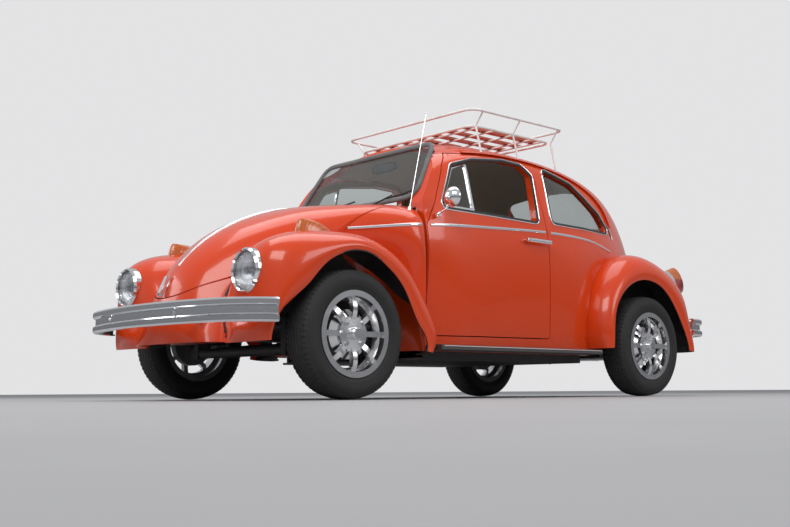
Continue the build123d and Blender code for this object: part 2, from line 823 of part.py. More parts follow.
with BuildPart() as rim:
    with BuildSketch(Plane.XZ):
        with BuildLine():
            Polyline(
                (rim_flange_radius, flange),
                (rim_flange_radius, flange - 5),
                (rim_bead_radius - seal_gap, flange - 10),
                (rim_bead_radius - seal_gap, flange - 36),
                (well_radius + rim_wall, flange - 58),
                (well_radius + rim_wall, -flange + 60),
                (rim_bead_radius - seal_gap, -flange + 36),
                (rim_bead_radius - seal_gap, -flange + 10),
                (rim_flange_radius, -flange + 5),
                (rim_flange_radius, -flange),
                (rim_bead_radius - rim_wall, -flange),
                (rim_bead_radius - rim_wall, -flange + 33),
                (well_radius, -flange + 58),
                (well_radius, flange - 62),
                (rim_bead_radius - rim_wall, flange - 34),
                (rim_bead_radius - rim_wall, flange),
                close=True,
            )
        make_face()
    revolve(axis=Axis.Z)
    # the hub disc, the drum behind it and the centre cap
    with BuildSketch(Plane.XZ):
        with BuildLine():
            Polyline(
                (0, flange + 16),
                (24, flange + 16),
                (30, flange + 9),
                (30, flange - 16),
                (hub_radius, flange - 20),
                (hub_radius, flange - 40),
                (drum_radius, flange - 60),
                (drum_radius, flange - 108),
                (0, flange - 108),
                close=True,
            )
        make_face()
    revolve(axis=Axis.Z)
    with PolarLocations(0, spoke_count):
        add(spoke.part)
    # four lug nuts
    with BuildSketch(Plane.XY.offset(flange - 24)):
        with PolarLocations(lug_circle, 4, start_angle=22.5 + 22.5):
            RegularPolygon(10.5, 6)
    extrude(amount=18)

for side, side_name in ((1, "left"), (-1, "right")):
    for axle_y, axle_name in ((front_axle_y, "front"), (rear_axle_y, "rear")):
        place = Plane(origin=(side * wheel_x, axle_y, tyre_radius), x_dir=(0, side, 0), z_dir=(side, 0, 0))
        with BuildPart() as placed_tyre:
            with Locations(place.location):
                add(tyre.part)
        save(placed_tyre.part, f"tyre_{axle_name}_{side_name}")
        with BuildPart() as placed_rim:
            with Locations(place.location):
                add(rim.part)
        save(placed_rim.part, f"rim_{axle_name}_{side_name}")

# ---------------------------------------------------------------- floor and running gear
floor_z = 205.0
pan_rear_y = 640.0
king_pin_x = 505.0
hub_inner_x = wheel_x + flange - 108 - seal_gap
seat_base_z = 344.7
bench_base_z = 370.0 - seal_gap
with BuildPart() as floor_pan:
    with Locations((0, (nose_fan_y + 2 + pan_rear_y) / 2, floor_z)):
        Box(1180, pan_rear_y - nose_fan_y - 2, 12)
    add(block(-75, 75, nose_fan_y - 115, pan_rear_y, floor_z - 6, tunnel_top_z))
    # heel board and seat pan under the rear bench, and rails under the front seats
    add(block(-505, 505, 400, 412, floor_z, bench_base_z))
    add(block(-505, 505, 400, 830, bench_base_z - 12, bench_base_z))
    for side in (-1, 1):
        for rail_x in (130, 450):
            add(block(side * rail_x, side * (rail_x + 30), -190, 220, floor_z, seat_base_z))
        # the sill that carries the cabin's side
        add(block(side * 572, side * 590, -660, pan_rear_y, floor_z, sill_z - seal_gap))
save(floor_pan.part, "floor_pan")

beam_y = front_axle_y - 120
trail_x = 440.0
lower_arm_z = 245.0
upper_arm_z = 365.0
with BuildPart() as front_axle:
    for z in (lower_arm_z, upper_arm_z):
        add(rod((-trail_x, beam_y, z), (trail_x, beam_y, z), 27))
    for side in (-1, 1):
        add(block(side * 370, side * 410, beam_y - 30, beam_y + 30, 215, 398))
        for z in (lower_arm_z, upper_arm_z):
            add(rod((side * trail_x, beam_y, z), (side * trail_x, front_axle_y, z), 15))
            y0, y1 = front_axle_y - 18, front_axle_y + 18
            add(block(side * trail_x, side * (king_pin_x + 18), y0, y1, z - 14, z + 14))
    # the head that bolts to the floor's tunnel
    add(block(-70, 70, beam_y - 20, nose_fan_y - 115, 300, 388))
save(front_axle.part, "front_axle")

for side, side_name in ((1, "left"), (-1, "right")):
    low = lower_arm_z + 14 + seal_gap
    high = upper_arm_z - 14 - seal_gap
    with BuildPart() as knuckle:
        add(rod((side * king_pin_x, front_axle_y, low), (side * king_pin_x, front_axle_y, high), 18))
        stub = [(side * x, front_axle_y, tyre_radius) for x in (king_pin_x, hub_inner_x)]
        add(rod(*stub, 22))
        arm_end = front_axle_y + steer_arm
        add(block(side * (king_pin_x - 14), side * (king_pin_x + 14), front_axle_y, arm_end, 298, 316))
    save(knuckle.part, f"knuckle_{side_name}")

with BuildPart() as tie_rod:
    rod_y = front_axle_y + steer_arm - 14
    add(rod((-king_pin_x, rod_y, 282), (king_pin_x, rod_y, 282), 10))
save(tie_rod.part, "tie_rod")

with BuildPart() as rear_axle:
    add(rod((-520, rear_axle_y - 360, 293), (520, rear_axle_y - 360, 293), 42))
    add(block(-105, 105, rear_axle_y - 470, rear_axle_y + 130, 225, 348))
    for side in (-1, 1):
        add(rod((side * 90, rear_axle_y, tyre_radius), (side * hub_inner_x, rear_axle_y, tyre_radius), 30))
        add(block(side * 508, side * 520, rear_axle_y - 370, rear_axle_y + 40, 262, 340))
save(rear_axle.part, "rear_axle")

with BuildPart() as engine:
    add(block(-270, 270, rear_axle_y + 130, rear_axle_y + 395, 250, 560))
    add(block(-120, 120, rear_axle_y + 200, rear_axle_y + 380, 560, 720))
save(engine.part, "engine_block")

with BuildPart() as exhaust:
    add(rod((-330, rear_axle_y + 462, 296), (330, rear_axle_y + 462, 296), 54))
    for side in (-1, 1):
        add(rod((side * 230, rear_axle_y + 470, 268), (side * 230, rear_axle_y + 780, 268), 19))
save(exhaust.part, "exhaust")

# ---------------------------------------------------------------- cabin fittings
wheel_centre = (330, -345, 905)
column_lean = (0, 0.82, 0.57)
steering_plane = Plane(origin=wheel_centre, x_dir=(1, 0, 0), z_dir=column_lean)
steering_radius = 190.0
with BuildPart() as steering_wheel:
    with Locations(steering_plane.location):
        Torus(steering_radius, 11)
        Cylinder(34, 30)
        with Locations((0, 0, 0)):
            Box(2 * steering_radius - 8, 16, 9)
save(steering_wheel.part, "steering_wheel")

column_end = Vector(*wheel_centre) - Vector(*column_lean).normalized() * 15.3
column_foot = Vector(*wheel_centre) - Vector(*column_lean).normalized() * 330
with BuildPart() as dashboard:
    with Locations((0, (nose_fan_y - 15 + seal_gap - 618) / 2, 890)):
        Box(1060, -618 - (nose_fan_y - 15 + seal_gap), 180)
    add(rod(tuple(column_foot), tuple(column_end), 20))
save(dashboard.part, "dashboard")


def seat(middle_x):
    """A front seat's cushion and back, rounded all over."""
    with BuildPart() as cushion:
        with Locations((middle_x, 10, 420)):
            Box(480, 480, 150)
        fillet(cushion.edges(), 40)
    with BuildPart() as back:
        with BuildSketch(Plane.YZ.offset(middle_x - 230)):
            with BuildLine():
                Polyline((190, 440), (330, 440), (430, 1010), (330, 1010), close=True)
            make_face()
        extrude(amount=460)
        fillet(back.edges(), 36)
    with BuildPart() as whole:
        add(cushion.part)
        add(back.part)
    return whole.part


save(seat(300), "seat_left")
save(seat(-300), "seat_right")
with BuildPart() as rear_seat:
    with Locations((0, 600, 440)):
        Box(1040, 420, 140)
    fillet(rear_seat.edges(), 40)
with BuildPart() as rear_seat_back:
    with BuildSketch(Plane.YZ.offset(-500)):
        with BuildLine():
            Polyline((780, 480), (900, 480), (980, 880), (900, 880), close=True)
        make_face()
    extrude(amount=1000)
    fillet(rear_seat_back.edges(), 36)
with BuildPart() as bench:
    add(rear_seat.part)
    add(rear_seat_back.part)
save(bench.part, "rear_seat")

# ---------------------------------------------------------------- roof rack
rack_tube = 8.0
rack_x = 545.0
rack_top_z = 1622.0
rack_floor_z = 1545.0


def rack_loop(height, inset):
    """A round-cornered hoop of tube."""
    with BuildPart() as loop:
        with BuildLine() as path:
            FilletPolyline(
                (0, rack_front_y + inset, height),
                (rack_x - inset, rack_front_y + inset, height),
                (rack_x - inset, rack_rear_y - inset, height),
                (0, rack_rear_y - inset, height),
                radius=70,
            )
        with BuildSketch(Plane(origin=(0, rack_front_y + inset, height), z_dir=(1, 0, 0))):
            Circle(rack_tube)
        sweep(path=path.wires()[0])
        mirror(about=Plane.YZ)
    return loop.part


rack_foot_x = 522.0
foot_radius = 9.0
foot_height = 4.0
rail_slope = 1.6  # how far the sloping rail rises under a foot
with BuildPart() as rack:
    add(rack_loop(rack_top_z, 0))
    add(rack_loop(rack_floor_z, 60))
    for side in (-1, 1):
        for y, rail_z in zip(leg_rows, rail_heights):
            add(rod((side * (rack_x - 60), y, rack_floor_z), (side * rack_x, y, rack_top_z), 5))
            foot_z = rail_z + rail_thickness / 2 + foot_height / 2 + rail_slope
            add(rod((side * (rack_x - 60), y, rack_floor_z), (side * rack_foot_x, y, foot_z), 6))
            with Locations((side * rack_foot_x, y, foot_z)):
                Cylinder(foot_radius, foot_height)
    for y in (rack_front_y + 130, 40, 210, 380, rack_rear_y - 130):
        add(rod((-(rack_x - 60), y, rack_floor_z), (rack_x - 60, y, rack_floor_z), 6))
save(rack.part, "roof_rack")

with BuildPart() as slats:
    with Locations((0, (rack_front_y + rack_rear_y) / 2, rack_floor_z + 6 + 6 + seal_gap)):
        with GridLocations(130, 0, 7, 1):
            Box(44, rack_rear_y - rack_front_y - 180, 12)
save(slats.part, "rack_slats")

# ---------------------------------------------------------------- handles, mirror, wipers and aerial
handle_front_y = 66.0
handle_rear_y = 278.0
handle_z = 885.0
door_skin_x = 646.0
handle_bar_x = 684.0
with BuildPart() as door_handle:
    for y in (handle_front_y + 14, handle_rear_y - 12):
        add(rod((door_skin_x + 4, y, handle_z), (handle_bar_x, y, handle_z), 8))
    with BuildSketch(Plane.XZ.offset(-handle_front_y)):
        with Locations((handle_bar_x, handle_z)):
            Ellipse(8, 12)
    extrude(amount=-(handle_rear_y - handle_front_y))
    add(rod((door_skin_x + 4, handle_front_y + 14, handle_z), (handle_bar_x + 13, handle_front_y + 14, handle_z), 10))

mirror_foot = (628.8, -600, 958)
mirror_head = (722, -575, 1048)
mirror_radius = 54.0
with BuildPart() as mirror_arm:
    add(rod(mirror_foot, (692, -588, 985), 6))
    add(rod((692, -588, 985), mirror_head, 6))
    add(rod(mirror_foot, (654, -597, 965), 13))
with BuildPart() as mirror_shell:
    with BuildSketch(Plane.XZ):
        with BuildLine():
            dome = ThreePointArc((0, 30), (mirror_radius * 0.75, 18), (mirror_radius, 0))
            Polyline(dome @ 1, (mirror_radius, -6), (0, -6), dome @ 0)
        make_face()
    revolve(axis=Axis.Z)
mirror_plane = Plane(origin=mirror_head, x_dir=(1, 0, 0), z_dir=(0.12, -1, 0))
with BuildPart() as mirror_piece:
    add(mirror_arm.part)
    with Locations(mirror_plane.location):
        add(mirror_shell.part)
with BuildPart() as fittings_left:
    add(door_handle.part)
    add(mirror_piece.part)
    add(door.part, mode=Mode.SUBTRACT)
save(fittings_left.part, "door_fittings_left")
with BuildPart() as fittings_right:
    add(mirrored(door_handle.part))
    add(mirrored(door.part), mode=Mode.SUBTRACT)
save(fittings_right.part, "door_fittings_right")

with BuildPart() as hood_handle:
    add(rod((0, -1800, 585), (0, -1838, 560), 9))
    with BuildSketch(Plane.YZ.offset(-13)):
        with BuildLine():
            Polyline((-1822, 610), (-1842, 604), (-1880, 520), (-1872, 505), (-1860, 512), close=True)
        make_face()
    extrude(amount=26)
    add(hood.part, mode=Mode.SUBTRACT)
with BuildPart() as outer_handle:
    add(hood_handle.part.solids().sort_by(Axis.Y)[0])
save(outer_handle.part, "hood_handle")

glass_up = Vector(0, sin(radians(screen_lean)), cos(radians(screen_lean)))
glass_out = Vector(0, -cos(radians(screen_lean)), sin(radians(screen_lean)))


def on_screen(x, up, out):
    """A point on the windscreen, up from its foot and out from its face."""
    return tuple(Vector(x, screen_foot_y, screen_foot_z) + glass_up * up + glass_out * out)


blade_radius = 4.5
blade_rise = blade_radius + seal_gap
with BuildPart() as wipers:
    for pivot_x in (150, -330):
        add(rod(on_screen(pivot_x, 8, -14), on_screen(pivot_x, 8, 20), 9))
        add(rod(on_screen(pivot_x, 8, 16), on_screen(pivot_x + 180, 74, 14), 3.5))
        add(rod(on_screen(pivot_x + 20, 46, blade_rise), on_screen(pivot_x + 330, 90, blade_rise), blade_radius))
        add(rod(on_screen(pivot_x + 180, 71, blade_rise), on_screen(pivot_x + 180, 74, 17), 5))
    add(cowl.part, mode=Mode.SUBTRACT)
save(wipers.part, "wipers")

aerial_foot = (560, -735, 965)
aerial_tip = (545, -585, 1528)
with BuildPart() as aerial:
    add(rod(aerial_foot, aerial_tip, 2.2))
    add(rod(aerial_foot, tuple(Vector(*aerial_foot) * 0.94 + Vector(*aerial_tip) * 0.06), 9))
    with Locations(aerial_tip):
        Sphere(4.5)
    add(cowl.part, mode=Mode.SUBTRACT)
with BuildPart() as outer_aerial:
    add(aerial.part.solids().sort_by(Axis.Z)[-1])
save(outer_aerial.part, "aerial")
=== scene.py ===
import json
import math

import bmesh
import bpy
from mathutils import Matrix, Vector
from mathutils.bvhtree import BVHTree

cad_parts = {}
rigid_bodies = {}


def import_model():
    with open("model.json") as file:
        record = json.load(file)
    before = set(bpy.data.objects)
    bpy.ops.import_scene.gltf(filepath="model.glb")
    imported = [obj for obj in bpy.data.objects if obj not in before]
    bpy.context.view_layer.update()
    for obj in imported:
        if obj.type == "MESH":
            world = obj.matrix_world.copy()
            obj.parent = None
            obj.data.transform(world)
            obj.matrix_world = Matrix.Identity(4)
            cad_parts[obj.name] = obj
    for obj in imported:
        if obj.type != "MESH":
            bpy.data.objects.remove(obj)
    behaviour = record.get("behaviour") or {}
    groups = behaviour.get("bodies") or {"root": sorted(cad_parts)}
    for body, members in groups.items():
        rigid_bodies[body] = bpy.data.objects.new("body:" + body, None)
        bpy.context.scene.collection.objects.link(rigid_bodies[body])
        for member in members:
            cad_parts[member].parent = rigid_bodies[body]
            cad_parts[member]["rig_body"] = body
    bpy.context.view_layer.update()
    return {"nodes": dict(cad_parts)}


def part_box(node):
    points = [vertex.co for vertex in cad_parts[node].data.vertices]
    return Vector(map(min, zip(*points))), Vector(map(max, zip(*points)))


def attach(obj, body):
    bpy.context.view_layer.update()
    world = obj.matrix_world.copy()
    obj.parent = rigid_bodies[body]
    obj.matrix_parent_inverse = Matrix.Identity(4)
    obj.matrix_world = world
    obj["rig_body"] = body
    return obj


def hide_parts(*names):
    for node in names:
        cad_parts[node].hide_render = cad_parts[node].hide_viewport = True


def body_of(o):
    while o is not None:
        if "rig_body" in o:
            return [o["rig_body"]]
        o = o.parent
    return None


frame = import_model()
nodes = frame["nodes"]
scene = bpy.context.scene
print("frame loaded,", len(nodes), "nodes")


# node trees: a wire is one output socket that takes part in sums
class Wire:
    def __init__(self, graph, socket):
        self.graph = graph
        self.socket = socket

    def __add__(self, other):
        return self.graph.math("ADD", self, other)

    def __radd__(self, other):
        return self.graph.math("ADD", other, self)

    def __sub__(self, other):
        return self.graph.math("SUBTRACT", self, other)

    def __rsub__(self, other):
        return self.graph.math("SUBTRACT", other, self)

    def __mul__(self, other):
        return self.graph.math("MULTIPLY", self, other)

    def __rmul__(self, other):
        return self.graph.math("MULTIPLY", other, self)

    def __truediv__(self, other):
        return self.graph.math("DIVIDE", self, other)

    def __rtruediv__(self, other):
        return self.graph.math("DIVIDE", other, self)

    def __pow__(self, other):
        return self.graph.math("POWER", self, other)


class Graph:
    def __init__(self, tree):
        self.tree = tree
        self.count = 0

    # any node: its type, its settings, and what goes into its sockets by name or number
    def add(self, kind, settings=None, sockets=None, out=0):
        node = self.tree.nodes.new(kind)
        self.count += 1
        node.location = (180 * (self.count % 12), -220 * (self.count // 12))
        for key, value in (settings or {}).items():
            setattr(node, key, value)
        for key, value in (sockets or {}).items():
            self.feed(node.inputs[key], value)
        return Wire(self, node.outputs[out]) if out is not None else node

    def feed(self, socket, value):
        if isinstance(value, Wire):
            self.tree.links.new(value.socket, socket)
        else:
            socket.default_value = value

    def math(self, operation, a, b=0.0, c=0.0):
        kind = "ShaderNodeMath"
        return self.add(kind, {"operation": operation}, {0: a, 1: b, 2: c})

    def smooth(self, value, low, high):
        settings = {"interpolation_type": "SMOOTHSTEP"}
        return self.add("ShaderNodeMapRange", settings, {"Value": value, "From Min": low, "From Max": high})

    def noise(self, where, scale, detail=3.0, rough=0.5):
        sockets = {"Vector": where, "Scale": scale, "Detail": detail, "Roughness": rough}
        return self.add("ShaderNodeTexNoise", {}, sockets)

    def mixColour(self, share, a, b, how="MIX"):
        settings = {"data_type": "RGBA", "blend_type": how}
        node = self.add("ShaderNodeMix", settings, {0: share, 6: a, 7: b}, None)
        return Wire(self, node.outputs[2])

    def split(self, where):
        node = self.add("ShaderNodeSeparateXYZ", {}, {0: where}, None)
        return [Wire(self, node.outputs[i]) for i in range(3)]

    def bump(self, height, strength, depth):
        return self.add("ShaderNodeBump", {}, {"Height": height, "Strength": strength, "Distance": depth})


# a material: recipe(graph, where) returns the sockets of its Principled shader
def material(name, recipe):
    mat = bpy.data.materials.new(name)
    mat.use_nodes = True
    mat.node_tree.nodes.clear()
    graph = Graph(mat.node_tree)
    coords = graph.add("ShaderNodeTexCoord", {}, {}, None)
    where = Wire(graph, coords.outputs["Object"])
    shader = graph.add("ShaderNodeBsdfPrincipled", {}, recipe(graph, where), None)
    target = graph.add("ShaderNodeOutputMaterial", {}, {}, None)
    graph.tree.links.new(shader.outputs[0], target.inputs[0])
    return mat


paintLook = {
    "colour": (0.70, 0.056, 0.005, 1),
    "deep": (0.60, 0.040, 0.003, 1),
    "dust": (0.42, 0.12, 0.07, 1),
    "roughness": 0.20,
}


def paintRecipe(graph, where):
    patches = graph.noise(where, 2.6, 4)
    fine = graph.noise(where, 900.0, 2)
    x, y, z = graph.split(where)
    low = 1.0 - graph.smooth(z, 0.16, 0.48)
    film = low * graph.noise(where, 11.0, 6) * 0.18
    colour = graph.mixColour(patches * 0.55, paintLook["colour"], paintLook["deep"])
    return {
        "Base Color": graph.mixColour(film, colour, paintLook["dust"]),
        "Roughness": paintLook["roughness"] + patches * 0.10 + film * 0.8,
        "Coat Weight": 0.55 - film * 1.2,
        "Coat Roughness": 0.05,
        "Coat IOR": 1.5,
        "Specular IOR Level": 0.30,
        "Normal": graph.bump(patches * 0.6 + fine * 0.02, 0.10, 0.002),
    }


chromeLook = {"colour": (0.86, 0.87, 0.89, 1), "worn": (0.62, 0.60, 0.57, 1)}


def chromeRecipe(graph, where):
    haze = graph.noise(where, 34.0, 5)
    specks = graph.smooth(graph.noise(where, 420.0, 2), 0.66, 0.74)
    return {
        "Base Color": graph.mixColour(specks * 0.5, chromeLook["colour"], chromeLook["worn"]),
        "Metallic": 1.0,
        "Roughness": 0.045 + haze * 0.07 + specks * 0.2,
        "Normal": graph.bump(haze, 0.05, 0.0015),
    }


alloyLook = {"colour": (0.74, 0.74, 0.75, 1), "grime": (0.16, 0.14, 0.12, 1)}


def alloyRecipe(graph, where):
    grain = graph.noise(where, 260.0, 3)
    patches = graph.noise(where, 9.0, 5)
    grime = graph.smooth(patches, 0.55, 0.85) * 0.10
    return {
        "Base Color": graph.mixColour(grime, alloyLook["colour"], alloyLook["grime"]),
        "Metallic": 0.97 - grime,
        "Roughness": 0.13 + patches * 0.10 + grime * 0.6,
        "Normal": graph.bump(grain, 0.12, 0.0006),
    }


rubberLook = {
    "colour": (0.011, 0.011, 0.012, 1),
    "dust": (0.050, 0.047, 0.044, 1),
    "axleZ": 0.308,
    "rings": 1500.0,  # moulded rings on the side wall, radians a metre
    "lines": 260.0,  # short radial lines round it, radians a turn
}


def tyreRecipe(graph, where):
    x, y, z = graph.split(where)
    front = graph.math("ABSOLUTE", y - frontAxle)
    rear = graph.math("ABSOLUTE", y - rearAxle)
    along = graph.math("MINIMUM", front, rear)
    radius = graph.math("SQRT", along * along + (z - rubberLook["axleZ"]) ** 2.0)
    angle = graph.math("ARCTAN2", z - rubberLook["axleZ"], along)
    dust = graph.noise(where, 22.0, 6) * 0.45 + graph.smooth(radius, 0.288, 0.306) * 0.25
    ringBand = graph.smooth(radius, 0.225, 0.232) - graph.smooth(radius, 0.243, 0.250)
    lineBand = graph.smooth(radius, 0.262, 0.265) - graph.smooth(radius, 0.276, 0.279)
    rings = graph.math("SINE", radius * rubberLook["rings"]) * ringBand
    lines = graph.math("SINE", angle * rubberLook["lines"]) * lineBand
    return {
        "Base Color": graph.mixColour(dust, rubberLook["colour"], rubberLook["dust"]),
        "Roughness": 0.62 + dust * 0.3,
        "Specular IOR Level": 0.4,
        "Normal": graph.bump(rings + lines * 0.6 + graph.noise(where, 500.0, 2) * 0.5, 0.45, 0.0012),
    }


glassLook = {"colour": (0.90, 0.94, 0.92, 1), "ior": 1.45}


def glassRecipe(graph, where):
    film = graph.noise(where, 5.0, 5)
    return {
        "Base Color": glassLook["colour"],
        "Transmission Weight": 1.0,
        "Roughness": graph.smooth(film, 0.45, 0.95) * 0.06,
        "IOR": glassLook["ior"],
    }


lensLook = {"flutes": 420.0, "colour": (0.97, 0.98, 1.0, 1)}


def lensRecipe(graph, where):
    x, y, z = graph.split(where)
    flutes = graph.math("ABSOLUTE", graph.math("SINE", x * lensLook["flutes"]))
    bands = graph.math("ABSOLUTE", graph.math("SINE", z * 74.0))
    return {
        "Base Color": lensLook["colour"],
        "Transmission Weight": 0.96,
        "Roughness": 0.02 + graph.noise(where, 60.0) * 0.03,
        "IOR": 1.45,
        "Normal": graph.bump(flutes * 0.8 + bands * 0.4, 0.75, 0.0018),
    }


def colouredLens(name, colour, deep, ribs):
    def recipe(graph, where):
        x, y, z = graph.split(where)
        ridge = graph.math("ABSOLUTE", graph.math("SINE", (x + y * 0.2) * ribs))
        cells = graph.math("ABSOLUTE", graph.math("SINE", (y + z) * ribs * 0.5))
        return {
            "Base Color": graph.mixColour(ridge * cells, deep, colour),
            "Transmission Weight": 0.28,
            "Roughness": 0.08 + cells * 0.06,
            "Coat Weight": 0.8,
            "Coat Roughness": 0.03,
            "Normal": graph.bump(ridge + cells, 0.35, 0.0012),
        }
    return material(name, recipe)


def paintedMetal(name, colour, worn, roughness, grain):
    def recipe(graph, where):
        patches = graph.noise(where, 9.0, 6)
        fine = graph.noise(where, grain, 3)
        dust = graph.smooth(patches, 0.42, 0.80)
        return {
            "Base Color": graph.mixColour(dust * 0.6, colour, worn),
            "Roughness": roughness + dust * 0.22,
            "Normal": graph.bump(fine + patches * 0.5, 0.25, 0.0012),
        }
    return material(name, recipe)


# grained moulded plastic or rubber
def moulded(name, colour, light, roughness, cell):
    def recipe(graph, where):
        pebbles = graph.add("ShaderNodeTexVoronoi", {}, {"Vector": where, "Scale": cell})
        wear = graph.noise(where, 14.0, 5)
        return {
            "Base Color": graph.mixColour(graph.smooth(wear, 0.35, 0.85), colour, light),
            "Roughness": roughness + wear * 0.18,
            "Normal": graph.bump(pebbles, 0.30, 0.0007),
        }
    return material(name, recipe)


vinylLook = {"colour": (0.50, 0.37, 0.22, 1), "shade": (0.29, 0.20, 0.11, 1), "cell": 0.0042}


def vinylRecipe(graph, where):
    x, y, z = graph.split(where)
    rows = graph.math("SINE", (y + z * 0.83) * (math.pi / vinylLook["cell"]))
    columns = graph.math("SINE", x * (math.pi / vinylLook["cell"]))
    weave = graph.math("ABSOLUTE", rows * columns)
    use = graph.noise(where, 7.0, 5)
    # the weave's gaps take the shade colour as painted shade; the use noise adds a random darker tone
    tone = graph.smooth(weave, 0.05, 0.7) * 0.7 + (1.0 - use) * 0.3
    return {
        "Base Color": graph.mixColour(tone, vinylLook["shade"], vinylLook["colour"]),
        "Roughness": 0.42 + use * 0.2,
        "Coat Weight": 0.15 + use * 0.1,
        "Coat Roughness": 0.3,
        "Normal": graph.bump(weave + graph.noise(where, 60.0, 3) * 0.4, 0.40, 0.0010),
    }


trimLook = {"colour": (0.40, 0.31, 0.20, 1), "shade": (0.24, 0.18, 0.11, 1), "pleat": 0.055}


# pleated vinyl of the door cards and side trim, with painted shade in the pleat grooves
def trimRecipe(graph, where):
    x, y, z = graph.split(where)
    pleat = graph.math("ABSOLUTE", graph.math("SINE", y * (math.pi / trimLook["pleat"])))
    band = graph.smooth(z, 0.40, 0.42) - graph.smooth(z, 0.80, 0.82)
    # the pleat grooves take the shade colour: painted shade in the creases
    groove = (1.0 - graph.smooth(pleat, 0.0, 0.22)) * band
    grain = graph.add("ShaderNodeTexVoronoi", {}, {"Vector": where, "Scale": 480.0})
    return {
        "Base Color": graph.mixColour(groove, trimLook["colour"], trimLook["shade"]),
        "Roughness": 0.48 + graph.noise(where, 12.0) * 0.15,
        "Normal": graph.bump(grain * 0.25 - groove, 0.5, 0.0015),
    }


headLook = {"colour": (0.62, 0.60, 0.54, 1), "hole": (0.20, 0.19, 0.16, 1), "pitch": 0.011}


# perforated headlining
def headRecipe(graph, where):
    x, y, z = graph.split(where)
    a = graph.math("SINE", x * (math.pi / headLook["pitch"]))
    b = graph.math("SINE", y * (math.pi / headLook["pitch"]))
    dots = graph.smooth(graph.math("ABSOLUTE", a * b), 0.86, 0.93)
    return {
        "Base Color": graph.mixColour(dots, headLook["colour"], headLook["hole"]),
        "Roughness": 0.6 + graph.noise(where, 40.0) * 0.2,
        "Normal": graph.bump(graph.noise(where, 300.0) - dots, 0.3, 0.0008),
    }


carpetLook = {"colour": (0.055, 0.050, 0.045, 1), "tip": (0.17, 0.15, 0.13, 1)}


def carpetRecipe(graph, where):
    loops = graph.add("ShaderNodeTexVoronoi", {}, {"Vector": where, "Scale": 330.0})
    shade = graph.noise(where, 9.0, 5)
    return {
        "Base Color": graph.mixColour(loops * shade * 1.4, carpetLook["tip"], carpetLook["colour"]),
        "Roughness": 0.85 + shade * 0.1,
        "Sheen Weight": 0.3,
        "Normal": graph.bump(loops, 0.8, 0.002),
    }


boardLook = {"colour": (0.030, 0.030, 0.031, 1), "dust": (0.13, 0.12, 0.11, 1), "pitch": 0.0095}


def boardRecipe(graph, where):
    x, y, z = graph.split(where)
    ribs = graph.math("ABSOLUTE", graph.math("SINE", x * (math.pi / boardLook["pitch"])))
    dust = graph.noise(where, 18.0, 6)
    grey = (1.0 - ribs) * 0.35 + dust * 0.35
    return {
        "Base Color": graph.mixColour(grey, boardLook["colour"], boardLook["dust"]),
        "Roughness": 0.6 + dust * 0.2,
        "Normal": graph.bump(graph.smooth(ribs, 0.15, 0.7), 0.8, 0.003),
    }


woodLook = {"light": (0.56, 0.125, 0.045, 1), "dark": (0.27, 0.050, 0.020, 1)}


def woodRecipe(graph, where):
    stretch = graph.add("ShaderNodeVectorMath", {"operation": "MULTIPLY"}, {0: where, 1: (26.0, 1.6, 26.0)})
    sockets = {"Vector": stretch, "Scale": 3.0, "Detail": 6.0, "Distortion": 1.1}
    rings = graph.add("ShaderNodeTexNoise", {}, sockets)
    pores = graph.smooth(graph.noise(stretch, 22.0, 3), 0.55, 0.75)
    return {
        "Base Color": graph.mixColour(graph.smooth(rings, 0.3, 0.7), woodLook["dark"], woodLook["light"]),
        "Roughness": 0.34 + pores * 0.25,
        "Coat Weight": 0.45,
        "Coat Roughness": 0.12,
        "Normal": graph.bump(rings * 0.5 - pores * 0.5, 0.35, 0.0010),
    }


reflectorLook = {
    "place": (0.546, 0.592),
    "bulb": 0.016,
    "colour": (0.90, 0.91, 0.93, 1),
    "dark": (0.10, 0.10, 0.11, 1),
}


# silvered bowl behind the lamp glass
def reflectorRecipe(graph, where):
    x, y, z = graph.split(where)
    across = graph.math("ABSOLUTE", x) - reflectorLook["place"][0]
    up = z - reflectorLook["place"][1]
    radius = graph.math("SQRT", across * across + up * up)
    bulb = 1.0 - graph.smooth(radius, reflectorLook["bulb"], reflectorLook["bulb"] + 0.006)
    return {
        "Base Color": graph.mixColour(bulb, reflectorLook["colour"], reflectorLook["dark"]),
        "Metallic": 1.0,
        "Roughness": 0.07 + bulb * 0.2,
        "Normal": graph.bump(radius * radius * 60.0, 1.0, 0.05),
    }


frontAxle = (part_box("rim_front_left")[0][1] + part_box("rim_front_left")[1][1]) / 2
rearAxle = (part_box("rim_rear_left")[0][1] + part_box("rim_rear_left")[1][1]) / 2

paint = material("bodyPaint", paintRecipe)
chrome = material("chromePlate", chromeRecipe)
alloy = material("castAlloy", alloyRecipe)
tyreRubber = material("tyreRubber", tyreRecipe)
glass = material("clearGlass", glassRecipe)
lens = material("flutedGlass", lensRecipe)
reflector = material("silveredBowl", reflectorRecipe)
vinyl = material("seatVinyl", vinylRecipe)
trim = material("pleatedTrim", trimRecipe)
headliner = material("headlining", headRecipe)
carpet = material("carpet", carpetRecipe)
board = material("ribbedRubber", boardRecipe)
wood = material("stainedSlats", woodRecipe)
amber = colouredLens("amberLens", (0.88, 0.24, 0.012, 1), (0.55, 0.10, 0.004, 1), 420.0)
red = colouredLens("redLens", (0.62, 0.012, 0.010, 1), (0.30, 0.004, 0.004, 1), 380.0)
underbody = paintedMetal("underbodyPaint", (0.020, 0.020, 0.021, 1), (0.085, 0.078, 0.068, 1), 0.55, 180.0)
whiteTube = paintedMetal("whiteTube", (0.80, 0.80, 0.78, 1), (0.55, 0.53, 0.49, 1), 0.30, 240.0)
# dark iron for the engine block and brake drums; on the backs of the alloy rims it is painted shade
ironAndRimShade = paintedMetal("ironAndRimShade", (0.10, 0.10, 0.105, 1), (0.21, 0.19, 0.17, 1), 0.5, 120.0)
plastic = moulded("grainedPlastic", (0.022, 0.022, 0.023, 1), (0.045, 0.044, 0.043, 1), 0.42, 620.0)
sealRubber = moulded("sealRubber", (0.115, 0.118, 0.120, 1), (0.175, 0.178, 0.180, 1), 0.55, 420.0)
